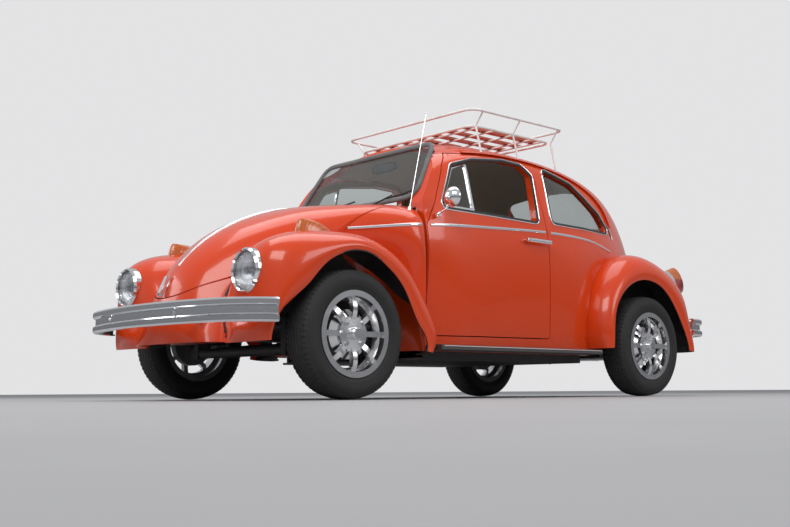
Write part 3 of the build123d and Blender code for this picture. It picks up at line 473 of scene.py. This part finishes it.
blackRubber = moulded("blackRubber", (0.016, 0.016, 0.017, 1), (0.040, 0.039, 0.038, 1), 0.6, 420.0)
print("materials made")

dressing = {
    paint: """roof_panel side_panel_left side_panel_right rear_panel front_quarters front_apron hood
        engine_lid front_fender_left front_fender_right rear_fender_left rear_fender_right door_left
        door_right""",
    chrome: """front_bumper rear_bumper headlamp_rings vent_frame_left vent_frame_right door_fittings_left
        door_fittings_right hood_handle aerial exhaust""",
    alloy: "rim_front_left rim_front_right rim_rear_left rim_rear_right",
    tyreRubber: "tyre_front_left tyre_front_right tyre_rear_left tyre_rear_right",
    glass: "windscreen rear_and_quarter_glass vent_glass_left vent_glass_right",
    lens: "headlamp_lenses",
    amber: "front_indicators",
    red: "tail_lamps",
    underbody: "floor_pan front_axle rear_axle knuckle_left knuckle_right tie_rod",
    ironAndRimShade: "engine_block",
    plastic: "dashboard steering_wheel wipers",
    board: "running_boards",
    whiteTube: "roof_rack",
    wood: "rack_slats",
    vinyl: "seat_left seat_right rear_seat",
    carpet: "rear_bulkhead",
}
for mat, names in dressing.items():
    for name in names.split():
        if name in nodes:
            mesh = nodes[name].data
            mesh.materials.clear()
            mesh.materials.append(mat)
            for polygon in mesh.polygons:
                polygon.material_index = 0


# faces of a CAD node that pass a test take another material
def repaint(name, mat, test):
    mesh = nodes[name].data
    mesh.materials.append(mat)
    index = len(mesh.materials) - 1
    for polygon in mesh.polygons:
        if test(polygon.center, polygon.normal):
            polygon.material_index = index


cabinLook = {"middleY": 0.3, "middleZ": 0.95, "lining": 0.55}


def facesCabin(centre, normal):
    inward = Vector((0, cabinLook["middleY"], cabinLook["middleZ"])) - centre
    return normal.dot(inward.normalized()) > cabinLook["lining"]


wellLook = {
    "reach": {"front": 0.455, "rear": 0.450},
    "from": 0.20,
    "drum": (0.700, 0.150),  # out to this |x|, and to this radius from the axle
    "lamp": (0.546, -1.721, 0.592),
    "bowl": 0.104,
}


# inside of a wheel well: near the axle in side view
def inWell(axle, reach):
    hub = Vector((0, axle, rubberLook["axleZ"]))
    return lambda c, n: (Vector((0, c.y, c.z)) - hub).length < reach and abs(c.x) > wellLook["from"]


# the turned-in side of an arch lip
def underArch(axle):
    hub = Vector((0, axle, rubberLook["axleZ"]))
    return lambda c, n: n.dot((Vector((0, c.y, c.z)) - hub).normalized()) < -0.5 or n.z < -0.8


# the brake drum, and the back of the rim behind the spokes, which takes the dark iron colour as painted shade
def drumAndShadedRimBack(axle):
    hub = Vector((0, axle, rubberLook["axleZ"]))
    across, reach = wellLook["drum"]

    def test(centre, normal):
        inside = abs(centre.x) < across and (Vector((0, centre.y, centre.z)) - hub).length < reach
        return normal.x * centre.x < -0.35 or inside
    return test


def inBowl(centre, normal):
    x, y, z = wellLook["lamp"]
    near = math.hypot(abs(centre.x) - x, centre.z - z) < wellLook["bowl"]
    return normal.y < -0.9 and near and abs(centre.y - y) < 0.004


for side in ("left", "right"):
    repaint("door_" + side, trim, lambda c, n: abs(n.x) > 0.6 and n.x * c.x < 0)
    repaint("side_panel_" + side, trim, lambda c, n: abs(n.x) > 0.6 and n.x * c.x < 0 and c.y > -0.66)
    for end, axle in (("front", frontAxle), ("rear", rearAxle)):
        repaint(end + "_fender_" + side, underbody, underArch(axle))
        # rim backs behind the spokes take the dark iron colour as painted shade
        repaint("rim_" + end + "_" + side, ironAndRimShade, drumAndShadedRimBack(axle))
    repaint("front_fender_" + side, reflector, inBowl)
    repaint("side_panel_" + side, underbody, inWell(rearAxle, wellLook["reach"]["rear"]))
for name in ("front_quarters", "front_apron"):
    repaint(name, underbody, inWell(frontAxle, wellLook["reach"]["front"]))
repaint("rear_panel", underbody, inWell(rearAxle, wellLook["reach"]["rear"]))
repaint("roof_panel", headliner, lambda c, n: facesCabin(c, n) and n.z < -0.1)
repaint("floor_pan", carpet, lambda c, n: n.z > 0.6 or abs(n.y) > 0.9)
repaint("front_quarters", underbody, lambda c, n: n.z < -0.5 and c.z < 0.6)
tailAxis = Vector((0, 0.9, 0.44)).normalized()
tailFoot = Vector((0, 1.490, 0.690))
repaint("tail_lamps", amber, lambda c, n: c.z > 0.758)
repaint("tail_lamps", chrome, lambda c, n: (Vector((0, c.y, c.z)) - tailFoot).dot(tailAxis) < 0.062)
print("CAD nodes dressed")


# mesh helpers
def piece(name, verts, faces, mat, body, smooth=True, sharp=38.0):
    mesh = bpy.data.meshes.new(name)
    mesh.from_pydata([tuple(v) for v in verts], [], faces)
    mesh.materials.append(mat)
    work = bmesh.new()
    work.from_mesh(mesh)
    bmesh.ops.recalc_face_normals(work, faces=work.faces)
    work.to_mesh(mesh)
    work.free()
    mesh.polygons.foreach_set("use_smooth", [smooth] * len(mesh.polygons))
    if smooth:
        mesh.set_sharp_from_angle(angle=math.radians(sharp))
    obj = bpy.data.objects.new(name, mesh)
    scene.collection.objects.link(obj)
    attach(obj, body)
    return obj


# a profile of (sideways, outward) points carried along a path of (place, outward) pairs
def swept(path, profile, closed=False):
    verts, faces = [], []
    count, width = len(path), len(profile)
    for i, (place, out) in enumerate(path):
        after = path[(i + 1) % count][0] if closed or i < count - 1 else place
        before = path[i - 1][0] if closed or i > 0 else place
        along = (after - before).normalized()
        outward = (out - along * out.dot(along)).normalized()
        sideways = along.cross(outward)
        verts += [place + sideways * s + outward * h for s, h in profile]
    for i in range(count if closed else count - 1):
        for j in range(width):
            a, b = i * width, (i + 1) % count * width
            k = (j + 1) % width
            faces.append((a + j, b + j, b + k, a + k))
    if not closed:
        faces.append(tuple(range(width)))
        faces.append(tuple((count - 1) * width + j for j in range(width)))
    return verts, faces


def halfRound(width, height, root=0.002):
    top = [(math.cos(a) * width / 2, math.sin(a) * height) for a in [math.pi * k / 8 for k in range(9)]]
    return [(width / 2, -root)] + top + [(-width / 2, -root)]


# a smooth line through points
def smoothLine(points, steps, closed=False):
    points = [Vector(p) for p in points]
    out = []
    last = len(points) if closed else len(points) - 1
    for i in range(last):
        near = [i + k for k in (-1, 0, 1, 2)]
        if closed:
            p = [points[k % len(points)] for k in near]
        else:
            p = [points[min(max(k, 0), len(points) - 1)] for k in near]
        for s in range(steps):
            t = s / steps
            a = -t ** 3 + 2 * t ** 2 - t
            b = 3 * t ** 3 - 5 * t ** 2 + 2
            c = -3 * t ** 3 + 4 * t ** 2 + t
            d = t ** 3 - t ** 2
            out.append((p[0] * a + p[1] * b + p[2] * c + p[3] * d) / 2)
    if not closed:
        out.append(points[-1])
    return out


# a closed outline with rounded corners, points about a step apart
def roundOutline(points, radius, step=0.02, grow=0.0):
    points = [Vector(p) for p in points]
    count = len(points)
    out = []
    for i in range(count):
        here, before, after = points[i], points[i - 1], points[(i + 1) % count]
        a, b = (before - here).normalized(), (after - here).normalized()
        turn = math.acos(max(-1, min(1, a.dot(b))))
        reach = min(radius / math.tan(turn / 2), 0.48 * (before - here).length, 0.48 * (after - here).length)
        start, end = here + a * reach, here + b * reach
        steps = max(2, int((math.pi - turn) * radius / step) + 2)
        for s in range(steps + 1):
            t = s / steps
            out.append(start * (1 - t) ** 2 + here * 2 * t * (1 - t) + end * t ** 2)
        gap = (points[(i + 1) % count] - end).length * 0.9
        nextReach = end + b * gap * 0.5
        out.append(nextReach)
    clean = []
    for p in out:
        if not clean or (p - clean[-1]).length > step * 0.25:
            clean.append(p)
    if grow:
        moved = []
        for i, p in enumerate(clean):
            along = (clean[(i + 1) % len(clean)] - clean[i - 1]).normalized()
            moved.append(p + Vector((along.y, -along.x)) * grow)
        clean = moved
    return clean


# an outline's left half, then its mirror image
def bothHalves(half):
    return half + [(-x, y) for x, y in reversed(half)]


# rays at the outside of chosen CAD nodes
class Skin:
    def __init__(self, *names):
        verts, faces = [], []
        for name in names:
            mesh = nodes[name].data
            start = len(verts)
            verts += [v.co.copy() for v in mesh.vertices]
            faces += [[start + i for i in p.vertices] for p in mesh.polygons]
        self.tree = BVHTree.FromPolygons(verts, faces)

    def hit(self, origin, direction):
        place, normal, index, distance = self.tree.ray_cast(Vector(origin), Vector(direction).normalized())
        if place is None:
            return None
        if normal.dot(Vector(direction)) > 0:
            normal = -normal
        return place, normal

    def side(self, y, z, sign):
        return self.hit((1.2 * sign, y, z), (-sign, 0, 0))


def laid(skin, points, sign):
    hits = [skin.side(p[0], p[1], sign) for p in points]
    return [h for h in hits if h]


# bright strips along the waist, one for each panel
beltLook = {
    "line": [
        (-1.330, 0.826), (-1.245, 0.840), (-0.666, 0.903), (-0.123, 0.933),
        (0.304, 0.949), (0.691, 0.942), (0.993, 0.900),
    ],
    "width": 0.017,
    "height": 0.006,
    "breaks": [
        (-1.305, -0.700, "front_quarters", "body"),
        (-0.658, 0.284, "door_", "door_"),
        (0.310, 0.990, "side_panel_", "body"),
    ],
}
beltPath = smoothLine([(y, z) for y, z in beltLook["line"]], 24)
for sign, side in ((1, "left"), (-1, "right")):
    for start, end, owner, body in beltLook["breaks"]:
        if owner.endswith("_"):
            owner += side
        if body.endswith("_"):
            body += side
        skin = Skin(owner)
        points = [p for p in beltPath if start <= p[0] <= end]
        path = laid(skin, points, sign)
        if len(path) > 3:
            verts, faces = swept(path, halfRound(beltLook["width"], beltLook["height"]))
            strip = piece("beltStrip_" + owner + "_" + side, verts, faces, chrome, body)

hoodLook = {"width": 0.014, "height": 0.006, "top": 1.018, "tip": 0.66}
hoodSkin = Skin("hood")
path = []
for k in range(61):
    z = hoodLook["top"] + (hoodLook["tip"] - hoodLook["top"]) * k / 60
    found = hoodSkin.hit((0.0, -3.0, z), (0, 1, 0))
    if found:
        path.append(found)
verts, faces = swept(path, halfRound(hoodLook["width"], hoodLook["height"]))
strip = piece("hoodStrip", verts, faces, chrome, "hood")
print("strips laid")

screenLook = {
    "half": [(0.462, 0.432), (0.525, 0.045)],
    "corner": 0.085,
    "foot": (-0.672, 1.032),
    "lean": 31.5,
    "width": 0.034,
    "height": 0.012,
}
lean = math.radians(screenLook["lean"])
screenUp = Vector((0, math.sin(lean), math.cos(lean)))
screenOut = Vector((0, -math.cos(lean), math.sin(lean)))
screenFoot = Vector((0, *screenLook["foot"]))
outline = roundOutline(bothHalves(screenLook["half"]), screenLook["corner"], 0.012)
path = [(screenFoot + Vector((p.x, 0, 0)) + screenUp * p.y + screenOut * 0.001, screenOut) for p in outline]
verts, faces = swept(path, halfRound(screenLook["width"], screenLook["height"]), True)
piece("screenSeal", verts, faces, sealRubber, "body")

windowLook = {
    "door": [
        (-0.545, 1.015), (-0.415, 1.262), (-0.246, 1.314), (0.015, 1.345), (0.175, 1.340), (0.238, 1.284),
        (0.218, 1.003),
    ],
    "quarter": [(0.352, 1.016), (0.372, 1.346), (0.640, 1.288), (0.915, 1.128), (1.010, 1.018)],
    "doorCorner": 0.030,
    "quarterCorner": 0.038,
    "seal": 0.020,
    "bright": 0.008,
    "height": 0.005,
}
for sign, side in ((1, "left"), (-1, "right")):
    door = "door_" + side
    for kind, owner, body in (("door", door, door), ("quarter", "side_panel_" + side, "body")):
        skin = Skin(owner)
        for part, mat, width, grow, height, slotName in (
            ("Seal", blackRubber, windowLook["seal"], 0.006, windowLook["height"], "black_plastic"),
            ("Bright", chrome, windowLook["bright"], 0.013, windowLook["height"] + 0.002, "chrome"),
        ):
            outline = roundOutline(windowLook[kind], windowLook[kind + "Corner"], 0.012, grow)
            if skin.side(outline[0].x, outline[0].y, sign) is None:
                outline = roundOutline(windowLook[kind], windowLook[kind + "Corner"], 0.012, -grow)
            path = laid(skin, outline, sign)
            verts, faces = swept(path, halfRound(width, height), True)
            piece(kind + part + "_" + side, verts, faces, mat, body)

backLook = {
    "half": [(0.400, 0.185), (0.345, -0.185)],
    "corner": 0.110,
    "place": (1.270, 1.262),
    "lean": 140.0,
}
lean = math.radians(backLook["lean"])
backUp = Vector((0, math.sin(lean), math.cos(lean)))
backOut = Vector((0, math.cos(lean), -math.sin(lean)))
if backOut.y < 0:
    backOut = -backOut
roofSkin = Skin("roof_panel")
for part, mat, width, grow, height, slotName in (
    ("backSeal", blackRubber, 0.022, 0.007, 0.006, "black_plastic"),
    ("backBright", chrome, 0.008, 0.015, 0.008, "chrome"),
):
    outline = roundOutline(bothHalves(backLook["half"]), backLook["corner"], 0.015)
    middle = Vector((0, *backLook["place"]))
    path = []
    for p in outline:
        p = p * (1 + grow / p.length)
        found = roofSkin.hit(middle + Vector((p.x, 0, 0)) + backUp * p.y + backOut * 0.6, -backOut)
        if found:
            path.append(found)
    verts, faces = swept(path, halfRound(width, height), True)
    piece(part, verts, faces, mat, "body")
print("window trim laid")

# bright strip on each running board's edge
edgeLook = {
    "width": 0.012,
    "height": 0.0028,
    "root": 0.001,
    "end": 0.012,
    "side": 0.0015,
    "drop": 0.006,
    "steps": 30,
}
low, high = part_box("running_boards")
for sign, side in ((1, "left"), (-1, "right")):
    path = []
    for k in range(edgeLook["steps"] + 1):
        y = low[1] + edgeLook["end"] + (high[1] - low[1] - 2 * edgeLook["end"]) * k / edgeLook["steps"]
        place = Vector((sign * (high[0] - edgeLook["side"]), y, high[2] - edgeLook["drop"]))
        path.append((place, Vector((sign * 0.35, 0, 0.94))))
    verts, faces = swept(path, halfRound(edgeLook["width"], edgeLook["height"], edgeLook["root"]))
    piece("boardStrip_" + side, verts, faces, chrome, "body")

# tyres: a revolved section whose tread rows are cut by wavy grooves and shoulder notches
tyreLook = {
    "wall": [
        (0.066, 0.188), (0.074, 0.209), (0.0815, 0.222), (0.0845, 0.229), (0.0862, 0.230), (0.0868, 0.236),
        (0.0872, 0.237), (0.0896, 0.247), (0.0905, 0.260), (0.0880, 0.274), (0.0815, 0.285), (0.0742, 0.2915),
    ],
    "shoulder": 0.0705,
    "ease": 0.0012,
    "blocks": (0.068, 0.052),
    "crown": 0.3077,
    "drop": 0.0075,
    "grooves": (0.0, 0.0235, 0.0445),
    "grooveHalf": 0.0021,
    "grooveDeep": 0.0055,
    "wave": 0.0032,
    "segments": 360,
    "wavePitch": 8,
    "notchPitch": 5,
    "notchDeep": 0.0045,
}


def treadRadius(x):
    return tyreLook["crown"] - tyreLook["drop"] * (x / tyreLook["shoulder"]) ** 2


def tyreMesh(name, body):
    low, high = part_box(name)
    middle, axle = (low[0] + high[0]) / 2, (low[1] + high[1]) / 2
    half, deep = tyreLook["grooveHalf"], tyreLook["grooveDeep"]
    rows = [(-x, r, 0, 0) for x, r in tyreLook["wall"]]
    edges = sorted({sign * g for g in tyreLook["grooves"] for sign in (-1, 1)})
    corner = (tyreLook["shoulder"], treadRadius(tyreLook["shoulder"]) - tyreLook["ease"], 0, 1)
    blocks = [(x, treadRadius(x), 0, 1) for x in tyreLook["blocks"]]
    rows += [(-x, *rest) for x, *rest in [corner] + blocks]
    for g in edges:
        for offset, drop in ((-half, 0), (-half * 0.6, deep), (half * 0.6, deep), (half, 0)):
            rows.append((g + offset, treadRadius(g) - drop, 1, 0))
    rows += blocks[::-1] + [corner]
    rows += [(x, r, 0, 0) for x, r in reversed(tyreLook["wall"])]
    verts, faces = [], []
    count, width = tyreLook["segments"], len(rows)
    for i in range(count):
        angle = 2 * math.pi * i / count
        wave = abs((i % tyreLook["wavePitch"]) / tyreLook["wavePitch"] - 0.5) * 4 - 1
        notch = i % tyreLook["notchPitch"] == 0
        for x, r, wavy, notched in rows:
            r -= tyreLook["notchDeep"] if notch and notched else 0
            across = middle + x + wavy * wave * tyreLook["wave"]
            verts.append((across, axle + math.cos(angle) * r, rubberLook["axleZ"] + math.sin(angle) * r))
    for i in range(count):
        for j in range(width):
            a, b, k = i * width, (i + 1) % count * width, (j + 1) % width
            faces.append((a + j, b + j, b + k, a + k))
    made = piece("tread_" + name, verts, faces, tyreRubber, body, True, 32.0)
    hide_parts(name)


for end in ("front", "rear"):
    for side in ("left", "right"):
        tyreMesh("tyre_" + end + "_" + side, body_of(nodes["tyre_" + end + "_" + side])[0])
print("tyres made")


# Geometry Nodes: a domed screw head on every vertex of the host, turned to its "facing"
def screwTree():
    tree = bpy.data.node_groups.new("screwHeads", "GeometryNodeTree")
    inputs = {"Places": "Geometry", "Radius": "Float", "Height": "Float", "Sides": "Int", "Metal": "Material"}
    for label, kind in inputs.items():
        tree.interface.new_socket(name=label, in_out="INPUT", socket_type="NodeSocket" + kind)
    tree.interface.new_socket(name="Heads", in_out="OUTPUT", socket_type="NodeSocketGeometry")
    graph = Graph(tree)
    given = graph.add("NodeGroupInput", {}, {}, None)
    wire = {out.name: Wire(graph, out) for out in given.outputs if out.name}
    sockets = {
        "Vertices": wire["Sides"],
        "Radius Top": wire["Radius"] * 0.62,
        "Radius Bottom": wire["Radius"],
        "Depth": wire["Height"],
    }
    head = graph.add("GeometryNodeMeshCone", {}, sockets)
    facing = graph.add("GeometryNodeInputNamedAttribute", {"data_type": "FLOAT_VECTOR"}, {"Name": "facing"})
    turn = graph.add("FunctionNodeAlignRotationToVector", {"axis": "Z"}, {"Vector": facing})
    sockets = {"Points": wire["Places"], "Instance": head, "Rotation": turn}
    heads = graph.add("GeometryNodeInstanceOnPoints", {}, sockets)
    solid = graph.add("GeometryNodeRealizeInstances", {}, {"Geometry": heads})
    clad = graph.add("GeometryNodeSetMaterial", {}, {"Geometry": solid, "Material": wire["Metal"]})
    graph.add("NodeGroupOutput", {}, {"Heads": clad}, None)
    return tree


screwLook = {
    "bumper": {"radius": 0.0085, "height": 0.006, "sides": 24, "x": (0.30, 0.0), "rise": 0.5},
    "slat": {"radius": 0.0042, "height": 0.0016, "sides": 16, "inset": 0.035},
}
heads = screwTree()


def screws(name, hits, look, mat, body):
    if not hits:
        return
    mesh = bpy.data.meshes.new(name)
    mesh.from_pydata([tuple(place) for place, normal in hits], [], [])
    facing = mesh.attributes.new("facing", "FLOAT_VECTOR", "POINT")
    facing.data.foreach_set("vector", [value for place, normal in hits for value in normal])
    host = bpy.data.objects.new(name, mesh)
    scene.collection.objects.link(host)
    modifier = host.modifiers.new("heads", "NODES")
    modifier.node_group = heads
    values = {"Radius": look["radius"], "Height": look["height"], "Sides": look["sides"], "Metal": mat}
    for item in heads.interface.items_tree:
        if item.in_out == "INPUT" and item.name in values:
            modifier[item.identifier] = values[item.name]
    bpy.context.view_layer.update()
    made = bpy.data.meshes.new_from_object(host.evaluated_get(bpy.context.evaluated_depsgraph_get()))
    host.modifiers.clear()
    host.data = made
    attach(host, body)


slatSkin = Skin("rack_slats")
low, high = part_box("rack_slats")
spans, start, step = [], None, 0.002
for k in range(int((high[0] - low[0]) / step) + 3):
    x = low[0] + step * (k - 1)
    found = slatSkin.hit((x, (low[1] + high[1]) / 2, high[2] + 0.3), (0, 0, -1))
    if found and start is None:
        start = x
    if not found and start is not None:
        spans.append((start + x - step) / 2)
        start = None
hits = []
for x in spans:
    for y in (low[1] + screwLook["slat"]["inset"], high[1] - screwLook["slat"]["inset"]):
        found = slatSkin.hit((x, y, high[2] + 0.3), (0, 0, -1))
        if found:
            hits.append(found)
screws("slatScrews", hits, screwLook["slat"], chrome, "body")

for name, sign in (("front_bumper", -1), ("rear_bumper", 1)):
    skin = Skin(name)
    low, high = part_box(name)
    hits = []
    for x in (-screwLook["bumper"]["x"][0], screwLook["bumper"]["x"][0]):
        z = low[2] + (high[2] - low[2]) * screwLook["bumper"]["rise"]
        found = skin.hit((x, 3.0 * sign, z), (0, -sign, 0))
        if found:
            hits.append(found)
    screws(name + "Bolts", hits, screwLook["bumper"], chrome, "body")
print("screws set,", len(spans), "slats")

# seats: the plain solid remeshed fine, eased, then drawn in along its seams
seatLook = {"voxel": 0.010, "pleat": 0.062, "deep": 0.0075, "border": 0.075, "ease": 14, "fill": 0.75}


def cushion(name):
    source = nodes[name]
    body = body_of(source)[0]
    low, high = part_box(name)
    mesh = source.data.copy()
    obj = bpy.data.objects.new(name + "_cover", mesh)
    scene.collection.objects.link(obj)
    for kind, settings in (
        ("REMESH", {"mode": "VOXEL", "voxel_size": seatLook["voxel"]}),
        ("SMOOTH", {"factor": 0.5, "iterations": seatLook["ease"]}),
    ):
        modifier = obj.modifiers.new(kind, kind)
        for key, value in settings.items():
            setattr(modifier, key, value)
    bpy.context.view_layer.update()
    made = bpy.data.meshes.new_from_object(obj.evaluated_get(bpy.context.evaluated_depsgraph_get()))
    obj.modifiers.clear()
    obj.data = made
    middle = (low[0] + high[0]) / 2
    half = (high[0] - low[0]) / 2
    moved = []
    for vertex in made.vertices:
        place, normal = vertex.co.copy(), vertex.normal
        across = place.x - middle
        inner = max(0.0, min(1.0, (half - abs(across) - seatLook["border"]) / 0.015))
        facing = max(0.0, min(1.0, (max(normal.z, -normal.y) - 0.35) / 0.3))
        pleat = abs(math.sin(math.pi * across / seatLook["pleat"]))
        groove = max(0.0, 1.0 - pleat / 0.42)
        seam = max(0.0, 1.0 - abs(half - abs(across) - seatLook["border"]) / 0.010)
        moved.append(place - normal * seatLook["deep"] * facing * max(groove * inner, seam))
    for vertex, place in zip(made.vertices, moved):
        vertex.co = place
    made.materials.clear()
    made.materials.append(vinyl)
    made.polygons.foreach_set("material_index", [0] * len(made.polygons))
    made.polygons.foreach_set("use_smooth", [True] * len(made.polygons))
    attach(obj, body)
    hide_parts(name)


for name in ("seat_left", "seat_right", "rear_seat"):
    cushion(name)
print("seats covered")

# inside mirror at the screen's top edge, and the gear lever on the tunnel
controlLook = {
    "mirror": {"place": (0.0, -0.395, 1.335), "half": (0.105, 0.009, 0.028)},
    "lever": {
        "foot": (0.0, -0.20, 0.335),
        "knob": (0.0, -0.175, 0.610),
        "radius": 0.007,
        "ball": 0.021,
        "bow": 0.012,
    },
}


def rounded(centre, half, power=4.0, rings=16, sides=28):
    verts, faces = [], []
    for i in range(rings + 1):
        tilt = math.pi * i / rings - math.pi / 2
        for j in range(sides):
            turn = 2 * math.pi * j / sides
            spot = Vector((math.cos(tilt) * math.cos(turn), math.cos(tilt) * math.sin(turn), math.sin(tilt)))
            size = sum(abs(v) ** power for v in spot) ** (1 / power)
            verts.append(Vector(centre) + Vector([v / size * h for v, h in zip(spot, half)]))
    for i in range(rings):
        for j in range(sides):
            k = (j + 1) % sides
            faces.append((i * sides + j, i * sides + k, (i + 1) * sides + k, (i + 1) * sides + j))
    return verts, faces


look = controlLook["mirror"]
verts, faces = rounded(look["place"], look["half"])
piece("insideMirror", verts, faces, plastic, "body")
look = controlLook["lever"]
foot, knob = Vector(look["foot"]), Vector(look["knob"])
line = []
for k in range(9):
    bow = Vector((0, look["bow"] * math.sin(math.pi * k / 8), 0))
    line.append((foot + (knob - foot) * k / 8 + bow, Vector((1, 0, 0))))
turns = [math.pi * k / 6 for k in range(12)]
ring = [(math.cos(a) * look["radius"], math.sin(a) * look["radius"]) for a in turns]
verts, faces = swept(line, ring)
piece("gearLever", verts, faces, chrome, "body")
verts, faces = rounded(look["knob"], (look["ball"],) * 3, 2.0)
piece("gearKnob", verts, faces, blackRubber, "body")

# inner wall of each rear wheel well
wallLook = {
    "x": 0.500,
    "thick": 0.003,
    "inner": 0.10,
    "outer": 0.470,
    "swell": 0.100,  # wider behind the axle
    "swellFrom": 105.0,
    "swellOver": 25.0,
    "from": -8.0,
    "to": 188.0,
    "steps": 48,
}
for sign, side in ((1, "left"), (-1, "right")):
    verts, faces = [], []
    steps = wallLook["steps"]
    for k in range(steps + 1):
        degrees = wallLook["from"] + (wallLook["to"] - wallLook["from"]) * k / steps
        turn = math.radians(degrees)
        swell = max(0.0, min(1.0, (wallLook["swellFrom"] - degrees) / wallLook["swellOver"]))
        outer = wallLook["outer"] + wallLook["swell"] * swell
        for r, dx in ((wallLook["inner"], 0), (outer, 0), (outer, -1), (wallLook["inner"], -1)):
            x = sign * (wallLook["x"] + dx * wallLook["thick"])
            verts.append((x, rearAxle + math.cos(turn) * r, rubberLook["axleZ"] + math.sin(turn) * r))
    for k in range(steps):
        for j in range(4):
            a, b, m = k * 4, (k + 1) * 4, (j + 1) % 4
            faces.append((a + j, b + j, b + m, a + m))
    faces += [(0, 1, 2, 3), tuple(steps * 4 + j for j in (3, 2, 1, 0))]
    piece("wellWall_" + side, verts, faces, underbody, "body")

# crescent air vents in the rear quarters
ventLook = {
    "line": [(0.985, 1.085), (1.018, 1.066), (1.040, 1.040), (1.052, 1.012), (1.055, 0.985)],
    "width": 0.020,
}
for sign, side in ((1, "left"), (-1, "right")):
    skin = Skin("side_panel_" + side)
    for label, mat, width, height, slotName in (
        ("airVent", blackRubber, ventLook["width"], 0.004, "black_plastic"),
        ("airVentRim", chrome, 0.004, 0.0065, "chrome"),
    ):
        path = laid(skin, smoothLine(ventLook["line"], 8), sign)
        if len(path) > 3:
            verts, faces = swept(path, halfRound(width, height))
            piece(label + "_" + side, verts, faces, mat, "body")

stageLook = {
    "floor": (0.36, 0.36, 0.37, 1),
    "floorLight": (0.40, 0.40, 0.41, 1),
    "half": 300.0,
    "floorZ": -0.001,
    "wall": (0.77, 0.77, 0.78, 1),
    "high": (0.92, 0.94, 0.97, 1),
    "low": (0.07, 0.07, 0.08, 1),
    "fill": 0.52,
}


def stageRecipe(graph, where):
    grain = graph.noise(where, 3.0, 5)
    return {
        "Base Color": graph.mixColour(grain, stageLook["floor"], stageLook["floorLight"]),
        "Roughness": 0.55 + grain * 0.1,
    }


mesh = bpy.data.meshes.new("studioFloor")
half = stageLook["half"]
corners = [(x * half, y * half, stageLook["floorZ"]) for x, y in ((-1, -1), (1, -1), (1, 1), (-1, 1))]
mesh.from_pydata(corners, [], [(0, 1, 2, 3)])
mesh.materials.append(material("floorPaint", stageRecipe))
floor = bpy.data.objects.new("studioFloor", mesh)
scene.collection.objects.link(floor)

world = bpy.data.worlds.new("studio")
scene.world = world
world.use_nodes = True
world.node_tree.nodes.clear()
sky = Graph(world.node_tree)
rays = sky.add("ShaderNodeLightPath", {}, {}, None)
seen = Wire(sky, rays.outputs["Is Camera Ray"])
aim = sky.add("ShaderNodeTexCoord", {}, {}, None)
up = sky.split(Wire(sky, aim.outputs["Generated"]))[2]
tone = sky.mixColour(sky.smooth(up, -0.06, 0.26), stageLook["low"], stageLook["high"])
soft = sky.add("ShaderNodeBackground", {}, {"Color": tone, "Strength": stageLook["fill"]}, None)
plain = sky.add("ShaderNodeBackground", {}, {"Color": stageLook["wall"], "Strength": 1.0}, None)
mixed = sky.add("ShaderNodeMixShader", {}, {0: seen}, None)
sky.tree.links.new(soft.outputs[0], mixed.inputs[1])
sky.tree.links.new(plain.outputs[0], mixed.inputs[2])
ending = sky.add("ShaderNodeOutputWorld", {}, {}, None)
sky.tree.links.new(mixed.outputs[0], ending.inputs[0])

lampLook = [
    ("keyLamp", (3.4, -5.2, 5.4), 4.5, 215.0, (1.0, 0.98, 0.95)),
    ("topLamp", (-0.4, 0.4, 6.0), 6.5, 170.0, (1.0, 1.0, 1.0)),
    ("sideLamp", (6.0, 1.8, 3.2), 3.6, 90.0, (0.95, 0.97, 1.0)),
    ("noseLamp", (-4.2, -5.0, 3.4), 3.6, 85.0, (0.97, 0.98, 1.0)),
]
for name, place, size, power, colour in lampLook:
    light = bpy.data.lights.new(name, "AREA")
    light.shape = "RECTANGLE"
    light.size = size
    light.size_y = size * 0.6
    light.energy = power
    light.color = colour
    lamp = bpy.data.objects.new(name, light)
    lamp.location = place
    lamp.rotation_euler = (Vector((0, 0, 0.6)) - Vector(place)).to_track_quat("-Z", "Y").to_euler()
    scene.collection.objects.link(lamp)

cameraLook = {"place": (4.637, -4.593, 0.034), "turn": 47.33, "tilt": 6.76, "roll": -0.37, "lens": 49.45}
camera = bpy.data.objects.new("camera", bpy.data.cameras.new("camera"))
camera.data.lens = cameraLook["lens"]
camera.data.sensor_width = 36.0
turned = Matrix.Rotation(math.radians(cameraLook["turn"]), 4, "Z")
tilted = Matrix.Rotation(math.radians(90 + cameraLook["tilt"]), 4, "X")
rolled = Matrix.Rotation(math.radians(cameraLook["roll"]), 4, "Z")
camera.matrix_world = Matrix.Translation(cameraLook["place"]) @ turned @ tilted @ rolled
scene.collection.objects.link(camera)
scene.camera = camera
scene.view_settings.view_transform = "Standard"
scene.view_settings.look = "None"
print("stage set")
